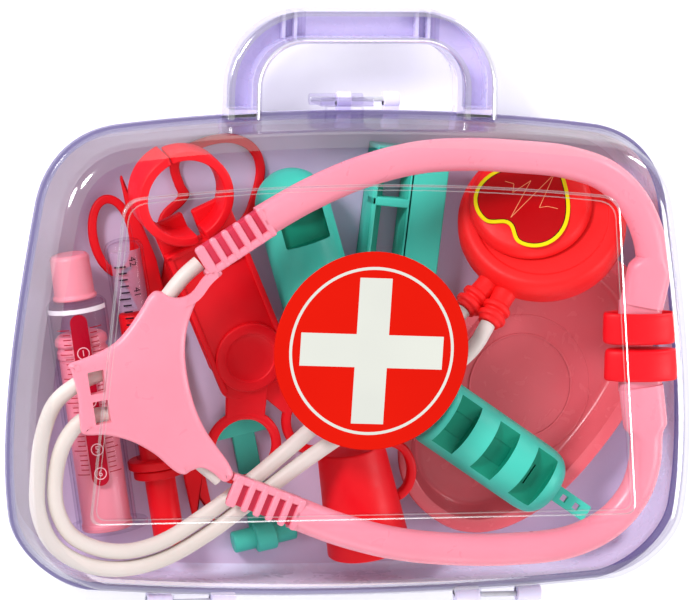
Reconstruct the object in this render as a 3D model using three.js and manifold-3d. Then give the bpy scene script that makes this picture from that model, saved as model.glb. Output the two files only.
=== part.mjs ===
// A toy doctor case lying on its back: a lavender rear shell and a clear lid, hinged along the bottom
// and latched at the top between the legs of the carrying handle, packed with toy instruments.
// X runs along its width, Y from the hinges to the handle, Z from the back to the clear lid.
// The origin is the centre of the flat face that it lies on. Lengths are in millimetres.
import * as THREE from "three";
import { mergeVertices } from "three/addons/utils/BufferGeometryUtils.js";
import Module from "manifold-3d";

const wasm = await Module();
wasm.setup();

// Driving sizes shared by the pieces
const gap = 0.3; // between pieces that touch
const overrun = 2; // how far a cutting solid runs past what it cuts
const weld = 0.001; // vertices closer than this are one
const pinSides = 12;
const turnedSides = 18;
const outlineSteps = 5; // steps on each curve of the case's outline
const roundSteps = 3; // steps on each rounded edge of the case

// Case
const halfWidth = 131.8;
const halfHeight = 92.4;
const rimZ = 26; // parting plane of the rear shell
const beadHeight = 2.2;
const beadProud = 1.2;
const shellWall = 2;
const shellDraft = 1.3; // how much further in the wall stands at the back edge
const backRound = 6;
const lidWall = 1.8;
const lidFaceZ = 54.8;
const lidDraft = 3;
const lidRound = 8;

// Outline of the case at the parting plane, right half: shares of halfWidth and halfHeight
const outlineShares = [
  ["start", 0, 1],
  ["quadratic", 0.38, 1, 0.698, 0.944],
  ["cubic", 0.827, 0.921, 0.912, 0.79, 0.93, 0.606],
  ["cubic", 0.971, 0.249, 1.028, -0.292, 0.989, -0.649],
  ["cubic", 0.974, -0.785, 0.865, -0.926, 0.759, -0.956],
  ["quadratic", 0.379, -1, 0, -1],
];

// Raised window panel of the lid
const panelRise = 1.2;
const panelTopHalf = 95.2;
const panelBottomHalf = 104.8;
const panelTopY = 62.6;
const panelArch = 4.6;
const panelBottomY = -58.1;
const panelTopRound = 8;
const panelBottomRound = 4;

// Round sticker on the panel
const stickerY = 5.6;
const stickerRadius = 37.3;
const stickerThick = 0.4;
const stickerSides = 48;

// Carrying handle, half in each shell
const handleHalf = 52.2;
const handleInnerHalf = 38.7;
const handleTop = 131.1;
const handleInnerTop = 118;
const handleRound = 30;
const handleInnerRound = 16.5;
const handleRearZ = 16;
const handleFrontZ = 36.3;
const handleWall = 1.8;
const handleRootY = 86;
const handleHollowY = 93.4;
const handleRibThick = 1.4;
const handleRibPlaces = [-28, -23.5, 23.5, 28];

// Hinges
const hingeOut = 1.2; // axis beyond the outline's bottom edge
const hingeZ = 26.15;
const hingeSpread = 60;
const knuckleRadius = 3.1;
const hingePinRadius = 1;
const boreClear = 0.35;
const lidKnuckle = 14.2;
const rearKnuckle = 9.5;
const knuckleGap = 0.4;
const notchClear = 0.5;
const hingeWeb = 6;

// Latch
const latchY = 96;
const latchZ = 20.5;
const latchPinRadius = 0.9;
const latchPinEnds = [-17, 16.8];
const latchBossRadius = 3;
const latchBosses = [[-7, -1.5], [11.2, 17.2]];
const latchWebDrop = 7;
const latchWebHalf = 2;
const haspEnds = [-17.4, 3.2];
const haspKnuckles = [[-17.4, -7.4], [-1.1, 3.2]];
const haspKnuckleRadius = 2.2;
const haspThick = 1.8;
const haspTop = 38.5;
const haspLip = 1.6;
const keeperEnds = [-14, 0];
const keeperZ = [31, 36];
const keeperClear = 0.45;

// Stethoscope headset
const headsetTopZ = 52.4;
const armDepth = 8.6;
const armWidth = 12.4;
const armBevelShare = 0.32;
const yokeThick = 3;
const collarWidth = 18; // where it flares from the arm
const collarMouthWidth = 16.2; // where it enters the ear tip
const collarDrop = 1; // below the top of the arm
const collarClear = 2.4; // above the mouth of the ear tip
const collarFlareShare = 0.3; // of its length, from the arm to its widest
const plugWidth = 14.6; // inside the ear tip
const plugDepth = 5;
const tipRadiusX = 14.4;
const tipRadiusZ = 6.6;
const tipZ = 45.4;
const tipWall = 1.8;
const tipHeight = 12;
const tipFloor = 2;
const tipSides = 24;
const ribCount = 5;
const ribRail = 3;
const slitShare = 0.5;
// Middle line of each arm from the comb's first rib to the collar, and the yoke's outline
const armPlaces = {
  upper: [[-63, 38.9], [-41.1, 53], [-24, 62.6], [-4, 71.2], [18, 76.8], [38, 78],
    [58, 77], [76, 75], [91.6, 69.8], [102.6, 60], [108.8, 48], [111, 39]],
  lower: [[-50.2, -47], [-26.6, -56.2], [-8, -63.4], [14, -69.2], [38, -71.9], [60, -72.2],
    [82, -69.9], [97.6, -62.6], [107, -51.6], [110.6, -40], [111, -30]],
};
const tipPlaces = { upper: [107.4, 17.6], lower: [108.4, -8.4] }; // middles of the mouths
const yokePlaces = [[-111, 0.9], [-99.8, 5.6], [-90.5, 11.8], [-84.5, 19], [-77.3, 28.6],
  [-65.6, 28.4], [-59.6, 34.7], [-56.2, 38.2], [-55.8, 31], [-60.6, 20], [-63.8, 6], [-63.6, -12.9],
  [-58.8, -26], [-48.4, -41.2], [-51.4, -44.6], [-58.1, -39.2], [-66, -41.4], [-85.9, -33.1],
  [-99.3, -23.5], [-110.5, -25.2]];
const yokeWindows = [[-102.4, -3.2], [-102.4, -19.6]];
const yokeWindowSize = [6.4, 10.6];

// Tubes of the stethoscope: middle lines from the comb, under the yoke, round and to the chest piece
const tubeRadius = 3;
const tubeSides = 8;
const tubePlaces = {
  upper: [[-64, 37.8, 45.4], [-70, 32.4, 45.4], [-78, 22, 45.4], [-87, 8, 45.4], [-97, -1.4, 45.4],
    [-108, -6.5, 45], [-116.5, -14.4, 42], [-120.6, -27, 39.6], [-122, -42, 38.6], [-121.4, -56, 38],
    [-115.6, -68.4, 37.4], [-104, -76.2, 36.6], [-90, -78.6, 36.2], [-74, -75.4, 36.4],
    [-56, -65.4, 37], [-38, -51.4, 38.6], [-19, -37, 40.5], [1, -23.4, 41.4], [18, -13.4, 41.9],
    [28, -7.4, 42.8], [36, -1.9, 43.5], [41.2, 2.8, 43.9], [44.8, 6.9, 43.1], [47, 9.9, 41.7],
    [49, 12.7, 40.4]],
  lower: [[-54.4, -43.4, 45.4], [-61, -38, 45.4], [-72, -29, 45.4], [-84, -21.6, 45.4],
    [-96, -18.6, 45.4], [-106, -20.4, 44.6], [-112, -28, 41.6], [-115, -40, 38.6], [-114.6, -54, 37.6],
    [-109.2, -64.6, 37.2], [-100, -70, 37], [-88, -71.8, 37], [-74, -68.4, 37], [-58, -58.6, 37.6],
    [-42, -46.6, 38.6], [-26, -33, 39.5], [-9, -18.6, 39], [8, -6.6, 38.6], [21, 1.6, 38],
    [30.8, 7.9, 37.5], [35.2, 11.6, 36.6], [38.4, 14.9, 35.5], [41, 17.4, 34.6]],
};
const tubeSteps = 28;

// Chest piece of the stethoscope
const chestPlace = [73.5, 49.2, 25.6];
const chestLean = 37.5; // degrees
const chestLeanToward = 114; // degrees from +X
const chestRadius = 32;
const chestHeight = 15;
const chestBase = 28;
const chestShoulder = 3.5;
const chestTop = 29.7;
const chestEase = 2; // from its flat top down to its side
const chestCapRadius = 23.5;
const chestCapTop = 21.5;
const chestCapHeight = 6;
const chestCapShift = [-4.2, 4.2]; // off the middle of the disc
const chestSides = 28;
const nozzleAngles = [227, 240.5];
const nozzleDrop = 2.5; // below the middle of the disc's height
const nozzleRadius = 4.4;
const nozzleRing = 5.7;
const nozzleRingThick = 2;
const nozzleRingCount = 2;
const nozzleStart = 26;
const nozzleEnd = 46;
const heartSize = 18.5;
const heartThick = 0.4;
const heartTurn = 141; // degrees
// Heart outline as shares of its size: a point at the bottom, two lobes and a shallow notch
const heartShares = [[0, -1], [0.55, -0.62], [1.02, -0.18], [1.02, 0.32], [1.02, 0.78], [0.66, 1],
  [0.42, 1], [0.24, 1], [0.14, 0.78], [0, 0.78]];

// Syringe
const syringePlace = [-90.8, -66.2, 17.8];
const syringeTurn = 9.2; // degrees
const barrelRadius = 11.4;
const barrelWall = 1.1;
const barrelLength = 88;
const flangeRadius = 15.4;
const flangeThick = 1.8;
const noseRadius = 4.4;
const noseBore = 1.6;
const noseLength = 9;
const capRadius = 8.3;
const capLength = 17;
const capDepth = 11;
const sealThick = 6;
const sealFree = 13; // from its seal to the barrel's end
const sealTop = barrelLength - sealFree;
const rodRadius = 9.2;
const thumbRadius = 9.6;
const thumbThick = 2.4;

// Thermometer
const thermometerPlace = [-71.4, -43.6, 15.3];
const thermometerTurn = 10.2; // degrees
const glassRadius = 7.4;
const glassWall = 1;
const glassLength = 84;
const collarRadius = 11.2;
const collarThick = 3.6;
const collarNeck = 8;
const collarSmall = 9.6;
const probeRadius = 5.8;
const probeLength = 27;
const stemRadius = 3;
const stemHead = 5.8;
const stemHeadFrom = 50;
const stemHeadTo = 60;
const stemPlug = 6;

// Scissors
const scissorsPlace = [-68, 5];
const scissorsTurn = 13.5; // degrees
const scissorsFloor = 2.3;
const bladeThick = 2.3;
const bladeWidth = 8.6;
const bladeLength = 76;
const bladeTaperShare = 0.7; // of its length, from the rivet to where one edge leaves the other
const scissorsBoss = 6.2;
const scissorsRivet = 2.2;
const scissorsRivetHead = 3.6;
const rivetHeadThick = 1;
const fingerLoopRoot = [13, 32.4];
const thumbLoopRoot = [-8, 29.5];
const thumbLoopPlace = [-11, 41.5];
const thumbLoopHalf = [9.3, 16];
const thumbLoopBand = 3.4;
const fingerLoopBand = 3.6;
const fingerLoopPlaces = [[20.2, 62], [20.2, 54], [21.4, 49.4], [18.4, 46.4], [11.6, 42.4], [9.6, 36.4],
  [16, 31.4], [30, 31.6], [39.6, 36.6], [44, 43], [48.4, 53], [47.2, 60], [41, 64.8], [30, 65.6]];

// Scalpel
const scalpelTip = [-84.6, 66.8];
const scalpelEnd = [-59.6, -27];
const scalpelZ = 7.5;
const scalpelThick = 2.6;
const scalpelWidth = 7;
const scalpelBladeLength = 34;

// Ring-jaw forceps
const forcepsPlace = [-37.4, -2, 17.9];
const forcepsTurn = 25.3; // degrees
const forcepsTilt = 10; // degrees
const armPlate = 3;
const plateHalf = 15;
const plateTop = 51.4;
const plateBottom = -14;
const plateBand = 2.2;
const plateBandHeight = 1;
const pivotRadius = 13.6;
const pivotRise = 1.5;
const pivotDish = 9.3;
const forcepsRivet = 3.4;
const jawPlace = [-0.8, 72.6];
const jawRadius = 18.4;
const jawWall = 3.6;
const jawTop = 10;
const jawGap = 3;
const jawCrease = 0.6;
const loopRadius = 15;
const loopBand = 3.8;
const fingerLoops = { left: [-15.3, -33], right: [16.4, -37.4] };
const shankHalf = 8.6;
const forcepsSides = 28;

// Penlight
const penlightFrom = [-22, 55.6];
const penlightTo = [-10.4, 18.2];
const penlightRadius = 14;
const penlightSlot = [17.5, 12];
const penlightSlotDepth = 6;
const penlightSlotShare = 0.2;
const domeShares = [[1, 0], [0.92, 0.4], [0.7, 0.72], [0.38, 0.93]]; // round ends: out and along

// Otoscope grip
const gripFrom = [33, -21.6];
const gripTo = [80.4, -53.7];
const gripZ = 26.8;
const gripRadius = 13.5;
const gripEndRound = 7;
const gripSlots = [8, 26.4, 44.9];
const gripSlotWidth = 9.6;
const gripSlotDepth = 5;
const gripHollow = 9.5;
const tabWidth = 6.5;
const tabThick = 2;
const tabLength = 17;
const tabHoles = [5.5, 11.5];
const tabHole = 2.4;

// Tweezers
const tweezersPlace = [21.6, 36];
const tweezersTurn = -5.5; // degrees
const tweezersLength = 82;
const tweezersDepth = 14.6;
const tweezersFloor = 2.3;
const tweezersLeft = [-14.6, -7.2];
const tweezersRight = [-0.6, 14.2];
const tweezersWall = 1.9;
const tweezersBridge = 9;
const tweezersCrossY = 18;
const tweezersCross = 3.4;

// Reflex hammer
const hammerHead = [-37, -29.6];
const hammerHeadHalf = 11.4;
const hammerHeadTall = 9;
const hammerFloor = 2.3;
const hammerThick = 2.8;
const hammerStemHalf = 4.4;
const hammerEnd = [-27.6, -72.6];
const hammerRodRadius = 4.2;
const hammerRodHalf = 12.4;
const hammerClipHalf = 4;
const hammerClipRadius = 5.6;
const hammerRodLift = 8.4;

// Medicine cup lying on its side
const cupPlace = [10.8, -75.8, 18.5];
const cupTurn = 13.7; // degrees
const cupTilt = 7.5; // degrees, with the base raised
const cupMouth = 16;
const cupBase = 12.8;
const cupLength = 42;
const cupWall = 1.6;
const cupHandleHalf = [10.2, 12.8];
const cupHandleBand = 3.4;
const cupHandleThick = 4.6;
const cupHandleFromBase = 13.6;
const cupHandleInset = 0.4;

// Oval dish
const dishPlace = [73.2, -16.9];
const dishTurn = 51.5; // degrees
const dishHalf = [61, 38.4];
const dishPower = 2.3; // exponent of its rounded-oval outline
const dishFloorZ = 2.3;
const dishHeight = 11.6;
const dishWall = 1.5;
const dishFlare = 5;
const dishRim = 3.4;
const dishSteps = 44;

const degree = Math.PI / 180;
const quarter = 90; // degrees
const up = new THREE.Vector3(0, 0, 1);
const toyCase = new THREE.Group();

function plastic(color, roughness, opacity = 1) {
  return new THREE.MeshStandardMaterial({
    color, roughness, metalness: 0, opacity, transparent: opacity < 1,
  });
}
const lavender = plastic(0xc3b4ec, 0.3);
const clear = plastic(0xf2f4ff, 0.06, 0.25);
const pink = plastic(0xff9db4, 0.35);
const cream = plastic(0xf0ebe1, 0.45);
const red = plastic(0xe8141e, 0.38);
const teal = plastic(0x35b79a, 0.4);
const dishPink = plastic(0xe0808c, 0.2, 0.7);
const paperRed = plastic(0xd21400, 0.35);
const steel = plastic(0xc9ccd2, 0.3);

// Manifold solid of a closed geometry, turned inside out where its faces point inwards
function solid(geometry) {
  const plain = geometry.clone();
  plain.deleteAttribute("normal");
  plain.deleteAttribute("uv");
  const merged = mergeVertices(plain, weld);
  const vertProperties = merged.attributes.position.array;
  const faces = [];
  let volume = 0;
  for (let i = 0; i < merged.index.count; i += 3) {
    const [a, b, c] = [0, 1, 2].map((k) => merged.index.getX(i + k));
    if (a === b || b === c || c === a) continue;
    faces.push(a, b, c);
    const corners = [a, b, c].map((k) => new THREE.Vector3().fromArray(vertProperties, 3 * k));
    volume += corners[0].dot(corners[1].cross(corners[2]));
  }
  if (volume < 0) faces.reverse();
  const triVerts = new Uint32Array(faces);
  return new wasm.Manifold(new wasm.Mesh({ numProp: 3, vertProperties, triVerts }));
}

function geometryOf(shape) {
  const mesh = shape.getMesh();
  const geometry = new THREE.BufferGeometry();
  geometry.setAttribute("position", new THREE.BufferAttribute(mesh.vertProperties, 3));
  geometry.setIndex(new THREE.BufferAttribute(mesh.triVerts, 1));
  geometry.computeVertexNormals();
  return geometry;
}

const join = (...shapes) => shapes.reduce((sum, shape) => sum.add(shape));
const cut = (shape, ...tools) => tools.reduce((rest, tool) => rest.subtract(tool), shape);

function piece(name, material, shape, group = toyCase) {
  const mesh = new THREE.Mesh(geometryOf(shape), material);
  mesh.name = name;
  group.add(mesh);
  return mesh;
}

// Box between two corners
function block(from, to) {
  const size = [0, 1, 2].map((k) => to[k] - from[k]);
  const middle = [0, 1, 2].map((k) => (to[k] + from[k]) / 2);
  return solid(new THREE.BoxGeometry(...size).translate(...middle));
}

// Cylinder along X, Y or Z between two ends
function rod(axis, radius, ends, [p, q], sides = turnedSides) {
  const geometry = new THREE.CylinderGeometry(radius, radius, ends[1] - ends[0], sides);
  const middle = (ends[0] + ends[1]) / 2;
  if (axis === "x") return solid(geometry.rotateZ(Math.PI / 2).translate(middle, p, q));
  if (axis === "y") return solid(geometry.translate(p, middle, q));
  return solid(geometry.rotateX(Math.PI / 2).translate(p, q, middle));
}

// Solid turned about local Y, from a profile of [radius, height] that starts and ends on the axis
function turned(profile, sides = turnedSides) {
  const points = profile.map(([radius, height]) => new THREE.Vector2(radius, height));
  return solid(new THREE.LatheGeometry(points, sides));
}

function extruded(shape, fromZ, toZ, curveSegments = turnedSides / 2) {
  const settings = { depth: toZ - fromZ, bevelEnabled: false, curveSegments };
  return solid(new THREE.ExtrudeGeometry(shape, settings).translate(0, 0, fromZ));
}

function polygon(places) {
  return new THREE.Shape(places.map(([x, y]) => new THREE.Vector2(x, y)));
}

function smoothPolygon(places, steps) {
  const points = places.map(([x, y]) => new THREE.Vector3(x, y, 0));
  const curve = new THREE.CatmullRomCurve3(points, true, "centripetal");
  return polygon(curve.getPoints(steps).slice(0, -1).map((p) => [p.x, p.y]));
}

function ringShape(outerX, outerY, innerX, innerY, x = 0, y = 0) {
  const shape = new THREE.Shape();
  shape.absellipse(x, y, outerX, outerY, 0, 2 * Math.PI);
  const hole = new THREE.Path();
  hole.absellipse(x, y, innerX, innerY, 0, 2 * Math.PI);
  shape.holes.push(hole);
  return shape;
}

// Closed skin through rings of as many points each, with a flat cap on the first and last
function loft(rings) {
  const count = rings[0].length;
  const positions = rings.flat().flatMap((p) => p.toArray());
  const faces = [];
  for (let r = 0; r + 1 < rings.length; r += 1) {
    for (let i = 0; i < count; i += 1) {
      const a = r * count + i;
      const b = r * count + ((i + 1) % count);
      faces.push(a, b, b + count, a, b + count, a + count);
    }
  }
  const last = (rings.length - 1) * count;
  for (const [ring, start, reversed] of [[rings[0], 0, true], [rings.at(-1), last, false]]) {
    for (const face of capFaces(ring)) {
      const [a, b, c] = face.map((k) => k + start);
      faces.push(...(reversed ? [a, c, b] : [a, b, c]));
    }
  }
  const geometry = new THREE.BufferGeometry();
  geometry.setAttribute("position", new THREE.Float32BufferAttribute(positions, 3));
  geometry.setIndex(faces);
  return solid(geometry);
}

// Triangles of a flat ring, running the same way round as the ring
function capFaces(ring) {
  const normal = new THREE.Vector3();
  ring.forEach((p, i) => normal.add(p.clone().cross(ring[(i + 1) % ring.length])));
  normal.normalize();
  const across = ring[1].clone().sub(ring[0]).normalize();
  const along = normal.clone().cross(across);
  const flat = ring.map((p) => new THREE.Vector2(p.dot(across), p.dot(along)));
  return THREE.ShapeUtils.triangulateShape(flat, []);
}

// Points of the case's outline, moved inwards by inset
const outlinePoints = (() => {
  const half = new THREE.Path();
  for (const [kind, ...shares] of outlineShares) {
    const sizes = shares.map((share, i) => share * (i % 2 ? halfHeight : halfWidth));
    if (kind === "start") half.moveTo(...sizes);
    if (kind === "quadratic") half.quadraticCurveTo(...sizes);
    if (kind === "cubic") half.bezierCurveTo(...sizes);
  }
  const right = half.getPoints(outlineSteps);
  const left = right.slice(1, -1).reverse().map((p) => new THREE.Vector2(-p.x, p.y));
  return [...right, ...left].reverse();
})();

function caseRing([inset, z]) {
  const count = outlinePoints.length;
  return outlinePoints.map((p, i) => {
    const before = outlinePoints[(i + count - 1) % count];
    const after = outlinePoints[(i + 1) % count];
    const along = after.clone().sub(before).normalize();
    return new THREE.Vector3(p.x - along.y * inset, p.y + along.x * inset, z);
  });
}

// Insets and heights round a rounded edge: from the flat face to the wall, or from the wall to it
function roundedEdge(inset, z, radius, direction) {
  return Array.from({ length: roundSteps + 1 }, (_, i) => {
    const angle = (i / roundSteps) * (Math.PI / 2);
    return direction < 0
      ? [inset + radius * (1 - Math.sin(angle)), z - radius * Math.cos(angle)]
      : [inset + radius * (1 - Math.cos(angle)), z + radius * Math.sin(angle)];
  });
}

// Carrying handle's loop as a flat shape, drawn in by inset on every side, from rootY up
function handleShape(inset, rootY) {
  const outer = handleHalf - inset;
  const inner = handleInnerHalf + inset;
  const outerRound = handleRound - inset;
  const innerRound = handleInnerRound + inset;
  const top = handleTop - inset - outerRound;
  const innerTop = handleInnerTop + inset - innerRound;
  const shape = new THREE.Shape();
  shape.moveTo(outer, rootY);
  shape.lineTo(outer, top);
  shape.absarc(outer - outerRound, top, outerRound, 0, Math.PI / 2);
  shape.absarc(outerRound - outer, top, outerRound, Math.PI / 2, Math.PI);
  shape.lineTo(-outer, rootY);
  shape.lineTo(-inner, rootY);
  shape.lineTo(-inner, innerTop);
  shape.absarc(innerRound - inner, innerTop, innerRound, Math.PI, Math.PI / 2, true);
  shape.absarc(inner - innerRound, innerTop, innerRound, Math.PI / 2, 0, true);
  shape.lineTo(inner, rootY);
  return shape;
}

function handleRibs(fromZ, toZ) {
  return handleRibPlaces.map((x) => block(
    [x - handleRibThick / 2, handleInnerTop + handleWall / 2, fromZ],
    [x + handleRibThick / 2, handleTop - handleWall / 2, toZ],
  ));
}

// Hinge barrels along the bottom edge
const hingeY = -halfHeight - hingeOut;
const notchRadius = knuckleRadius + notchClear;
const rearKnuckleOut = lidKnuckle / 2 + knuckleGap;
const knuckleSpans = [-1, 1].map((side) => {
  const middle = side * hingeSpread;
  return {
    lid: [[middle - lidKnuckle / 2, middle + lidKnuckle / 2]],
    rear: [
      [middle - rearKnuckleOut - rearKnuckle, middle - rearKnuckleOut],
      [middle + rearKnuckleOut, middle + rearKnuckleOut + rearKnuckle],
    ],
  };
});
const lidSpans = knuckleSpans.flatMap((spans) => spans.lid);
const rearSpans = knuckleSpans.flatMap((spans) => spans.rear);
const hingeRod = (radius, ends) => rod("x", radius, ends, [hingeY, hingeZ], pinSides);
const widened = ([from, to], by) => [from - by, to + by];

function hingeBarrels(spans, webFromZ, webToZ) {
  return spans.flatMap(([from, to]) => [
    hingeRod(knuckleRadius, [from, to]),
    block([from, hingeY, webFromZ], [to, hingeY + hingeWeb, webToZ]),
  ]);
}
const hingeNotches = (spans) => spans.map((ends) => hingeRod(notchRadius, widened(ends, knuckleGap)));
const hingeBores = (spans) => spans.map((ends) =>
  hingeRod(hingePinRadius + boreClear, widened(ends, knuckleGap / 2)));

// Rear shell with its half of the handle, its hinge barrels and the latch bosses
const lidZ = rimZ + gap;
const backInset = beadProud + shellDraft;
const rearOutside = loft([
  ...roundedEdge(backInset, backRound, backRound, -1),
  [beadProud, rimZ - beadHeight],
  [0, rimZ - beadHeight],
  [0, rimZ],
].map(caseRing));
const innerRound = backRound - shellWall;
const rearInside = loft([
  ...roundedEdge(backInset + shellWall, shellWall + innerRound, innerRound, -1),
  [beadProud + shellWall, rimZ + overrun],
].map(caseRing));
const latchRod = (radius, ends) => rod("x", radius, ends, [latchY, latchZ], pinSides);
const latchParts = latchBosses.flatMap(([from, to]) => [
  latchRod(latchBossRadius, [from, to]),
  block([from, latchY - latchWebDrop, latchZ - latchWebHalf], [to, latchY, latchZ + latchWebHalf]),
]);
const latchBores = latchBosses.map((ends) =>
  latchRod(latchPinRadius + gap, widened(ends, knuckleGap / 2)));
const rearHandle = join(
  cut(
    extruded(handleShape(0, handleRootY), handleRearZ, rimZ, outlineSteps),
    extruded(handleShape(handleWall, handleHollowY), handleRearZ + handleWall, rimZ + overrun, outlineSteps),
  ),
  ...handleRibs(handleRearZ + handleWall / 2, rimZ - handleWall / 2),
);
piece("rear_shell", lavender, cut(
  join(
    cut(rearOutside, ...hingeNotches(lidSpans)),
    rearHandle,
    ...hingeBarrels(rearSpans, hingeZ - knuckleRadius, rimZ),
    ...latchParts,
  ),
  rearInside,
  ...hingeBores(rearSpans),
  ...latchBores,
));

// Clear lid with its raised panel, its half of the handle, its hinge barrels and the latch keeper
const wallInset = beadProud + lidDraft;
const lidRoundZ = lidFaceZ - lidRound;
const lidOutside = loft([
  [0, lidZ],
  [0, lidZ + beadHeight],
  [beadProud, lidZ + beadHeight],
  ...roundedEdge(wallInset, lidRoundZ, lidRound, 1),
].map(caseRing));
const lidInside = loft([
  [beadProud + lidWall, lidZ - overrun],
  ...roundedEdge(wallInset + lidWall, lidRoundZ, lidRound - lidWall, 1),
].map(caseRing));

function panelShape(inset) {
  const bottom = panelBottomY + inset;
  const wide = panelBottomHalf - inset;
  const narrow = panelTopHalf - inset;
  const top = panelTopY - inset;
  const shape = new THREE.Shape();
  shape.moveTo(panelBottomRound - wide, bottom);
  shape.lineTo(wide - panelBottomRound, bottom);
  shape.quadraticCurveTo(wide, bottom, wide, bottom + panelBottomRound);
  shape.lineTo(narrow, top - panelTopRound);
  shape.quadraticCurveTo(narrow, top, narrow - panelTopRound, top + panelArch / panelTopRound);
  shape.quadraticCurveTo(0, top + 2 * panelArch, panelTopRound - narrow, top + panelArch / panelTopRound);
  shape.quadraticCurveTo(-narrow, top, -narrow, top - panelTopRound);
  shape.lineTo(-wide, bottom + panelBottomRound);
  shape.quadraticCurveTo(-wide, bottom, panelBottomRound - wide, bottom);
  return shape;
}
const lidInnerZ = lidFaceZ - lidWall;
const panelZ = lidFaceZ + panelRise;
const keeperWall = latchY - haspThick / 2 - keeperClear;
const keeper = block(
  [keeperEnds[0], handleRootY, keeperZ[0]],
  [keeperEnds[1], keeperWall, keeperZ[1]],
);
const lidHandle = join(
  cut(
    extruded(handleShape(0, handleRootY), lidZ, handleFrontZ, outlineSteps),
    extruded(handleShape(handleWall, handleHollowY), lidZ - overrun, handleFrontZ - handleWall, outlineSteps),
  ),
  ...handleRibs(lidZ + handleWall / 2, handleFrontZ - handleWall / 2),
);
const lid = cut(
  join(
    cut(lidOutside, ...hingeNotches(rearSpans)),
    lidHandle,
    extruded(panelShape(0), lidFaceZ - lidWall / 2, panelZ, outlineSteps),
    ...hingeBarrels(lidSpans, lidZ, hingeZ + knuckleRadius),
    keeper,
  ),
  lidInside,
  extruded(panelShape(lidWall), lidInnerZ - overrun, lidInnerZ + panelRise, outlineSteps),
  ...hingeBores(lidSpans),
);
piece("front_lid", clear, lid);

piece("lid_sticker", paperRed,
  rod("z", stickerRadius, [panelZ, panelZ + stickerThick], [0, stickerY], stickerSides));

// Hinge pins
for (const [name, spans] of [["left", knuckleSpans[0]], ["right", knuckleSpans[1]]]) {
  const ends = [spans.rear[0][0], spans.rear[1][1]];
  piece(`hinge_pin_${name}`, steel, hingeRod(hingePinRadius, ends));
}

// Latch: a hasp on its pin
const haspInner = latchY - haspThick / 2;
const haspPlate = cut(
  block([haspEnds[0], haspInner, latchZ], [haspEnds[1], haspInner + haspThick, haspTop]),
  rod("x", latchBossRadius + knuckleGap, widened(latchBosses[0], knuckleGap), [latchY, latchZ]),
);
const haspEdge = block(
  [haspEnds[0], haspInner, haspTop - haspLip],
  [haspEnds[1], haspInner + haspThick + haspLip, haspTop],
);
piece("latch_hasp", clear, cut(
  join(haspPlate, haspEdge, ...haspKnuckles.map((ends) => latchRod(haspKnuckleRadius, ends))),
  ...haspKnuckles.map((ends) => latchRod(latchPinRadius + gap, widened(ends, knuckleGap / 2))),
));
piece("latch_pin", steel, latchRod(latchPinRadius, latchPinEnds));

// Bevelled bar along a list of places in plan, with a [width, topZ, depth] at each
function bar(places, sections) {
  const points = places.map(([x, y]) => new THREE.Vector3(x, y, 0));
  const rings = points.map((p, i) => {
    const before = points[Math.max(i - 1, 0)];
    const after = points[Math.min(i + 1, points.length - 1)];
    const side = after.clone().sub(before).normalize().cross(up);
    const [width, topZ, depth] = sections[i];
    const half = width / 2;
    const bevel = depth * armBevelShare;
    const section = [
      [-half, -depth + bevel], [bevel - half, -depth], [half - bevel, -depth], [half, -depth + bevel],
      [half, -bevel], [half - bevel, 0], [bevel - half, 0], [-half, -bevel],
    ];
    return section.map(([across, rise]) =>
      p.clone().addScaledVector(side, across).setZ(topZ + rise));
  });
  return loft(rings);
}

// Stethoscope headset: the yoke, and on each side a comb, an arm and its flared collar
function comb([from, to], outward) {
  const along = new THREE.Vector2(to[0] - from[0], to[1] - from[1]);
  const length = along.length();
  const turn = along.angle();
  const shape = solid(new THREE.BoxGeometry(length + overrun, armWidth, yokeThick)
    .translate(length / 2, 0, headsetTopZ - yokeThick / 2));
  const rail = solid(new THREE.BoxGeometry(length + overrun, ribRail, armDepth)
    .translate(length / 2, -outward * (armWidth - ribRail) / 2, headsetTopZ - armDepth / 2));
  const pitch = length / ribCount;
  const slits = Array.from({ length: ribCount }, (_, i) =>
    solid(new THREE.BoxGeometry(pitch * slitShare, armWidth, yokeThick + overrun)
      .translate((i + 1 - slitShare / 2) * pitch, outward * ribRail, headsetTopZ - yokeThick / 2)));
  return cut(join(shape, rail), ...slits).rotate([0, 0, turn / degree]).translate([...from, 0]);
}

const yokeWindow = ([x, y]) => block(
  [x - yokeWindowSize[0] / 2, y - yokeWindowSize[1] / 2, headsetTopZ - yokeThick - overrun],
  [x + yokeWindowSize[0] / 2, y + yokeWindowSize[1] / 2, headsetTopZ + overrun],
);
const headsetParts = [
  cut(extruded(polygon(yokePlaces), headsetTopZ - yokeThick, headsetTopZ),
    ...yokeWindows.map(yokeWindow)),
];
for (const [name, outward] of [["upper", 1], ["lower", -1]]) {
  const places = armPlaces[name];
  const arm = places.slice(1);
  headsetParts.push(comb([places[0], places[1]], outward));
  headsetParts.push(bar(arm, arm.map(() => [armWidth, headsetTopZ, armDepth])));
  const from = arm.at(-1);
  const [mouthX, mouthY] = tipPlaces[name];
  const mouth = [mouthX, mouthY + outward * collarClear];
  const flare = [
    from[0] + (mouth[0] - from[0]) * collarFlareShare / 2,
    from[1] + (mouth[1] - from[1]) * collarFlareShare,
  ];
  const collarTop = headsetTopZ - collarDrop;
  const plugEnd = [mouthX, mouthY - outward * (tipHeight - tipFloor - gap)];
  headsetParts.push(bar([from, flare, mouth], [
    [armWidth, headsetTopZ, armDepth],
    [collarWidth, collarTop, armDepth - collarDrop],
    [collarMouthWidth, collarTop, armDepth - collarDrop],
  ]));
  const plugSection = [plugWidth, tipZ + plugDepth / 2, plugDepth];
  headsetParts.push(bar([[mouthX, mouthY + outward * armBevelShare * armDepth], plugEnd],
    [plugSection, plugSection]));
}
piece("stethoscope_headset", pink, join(...headsetParts));

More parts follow.
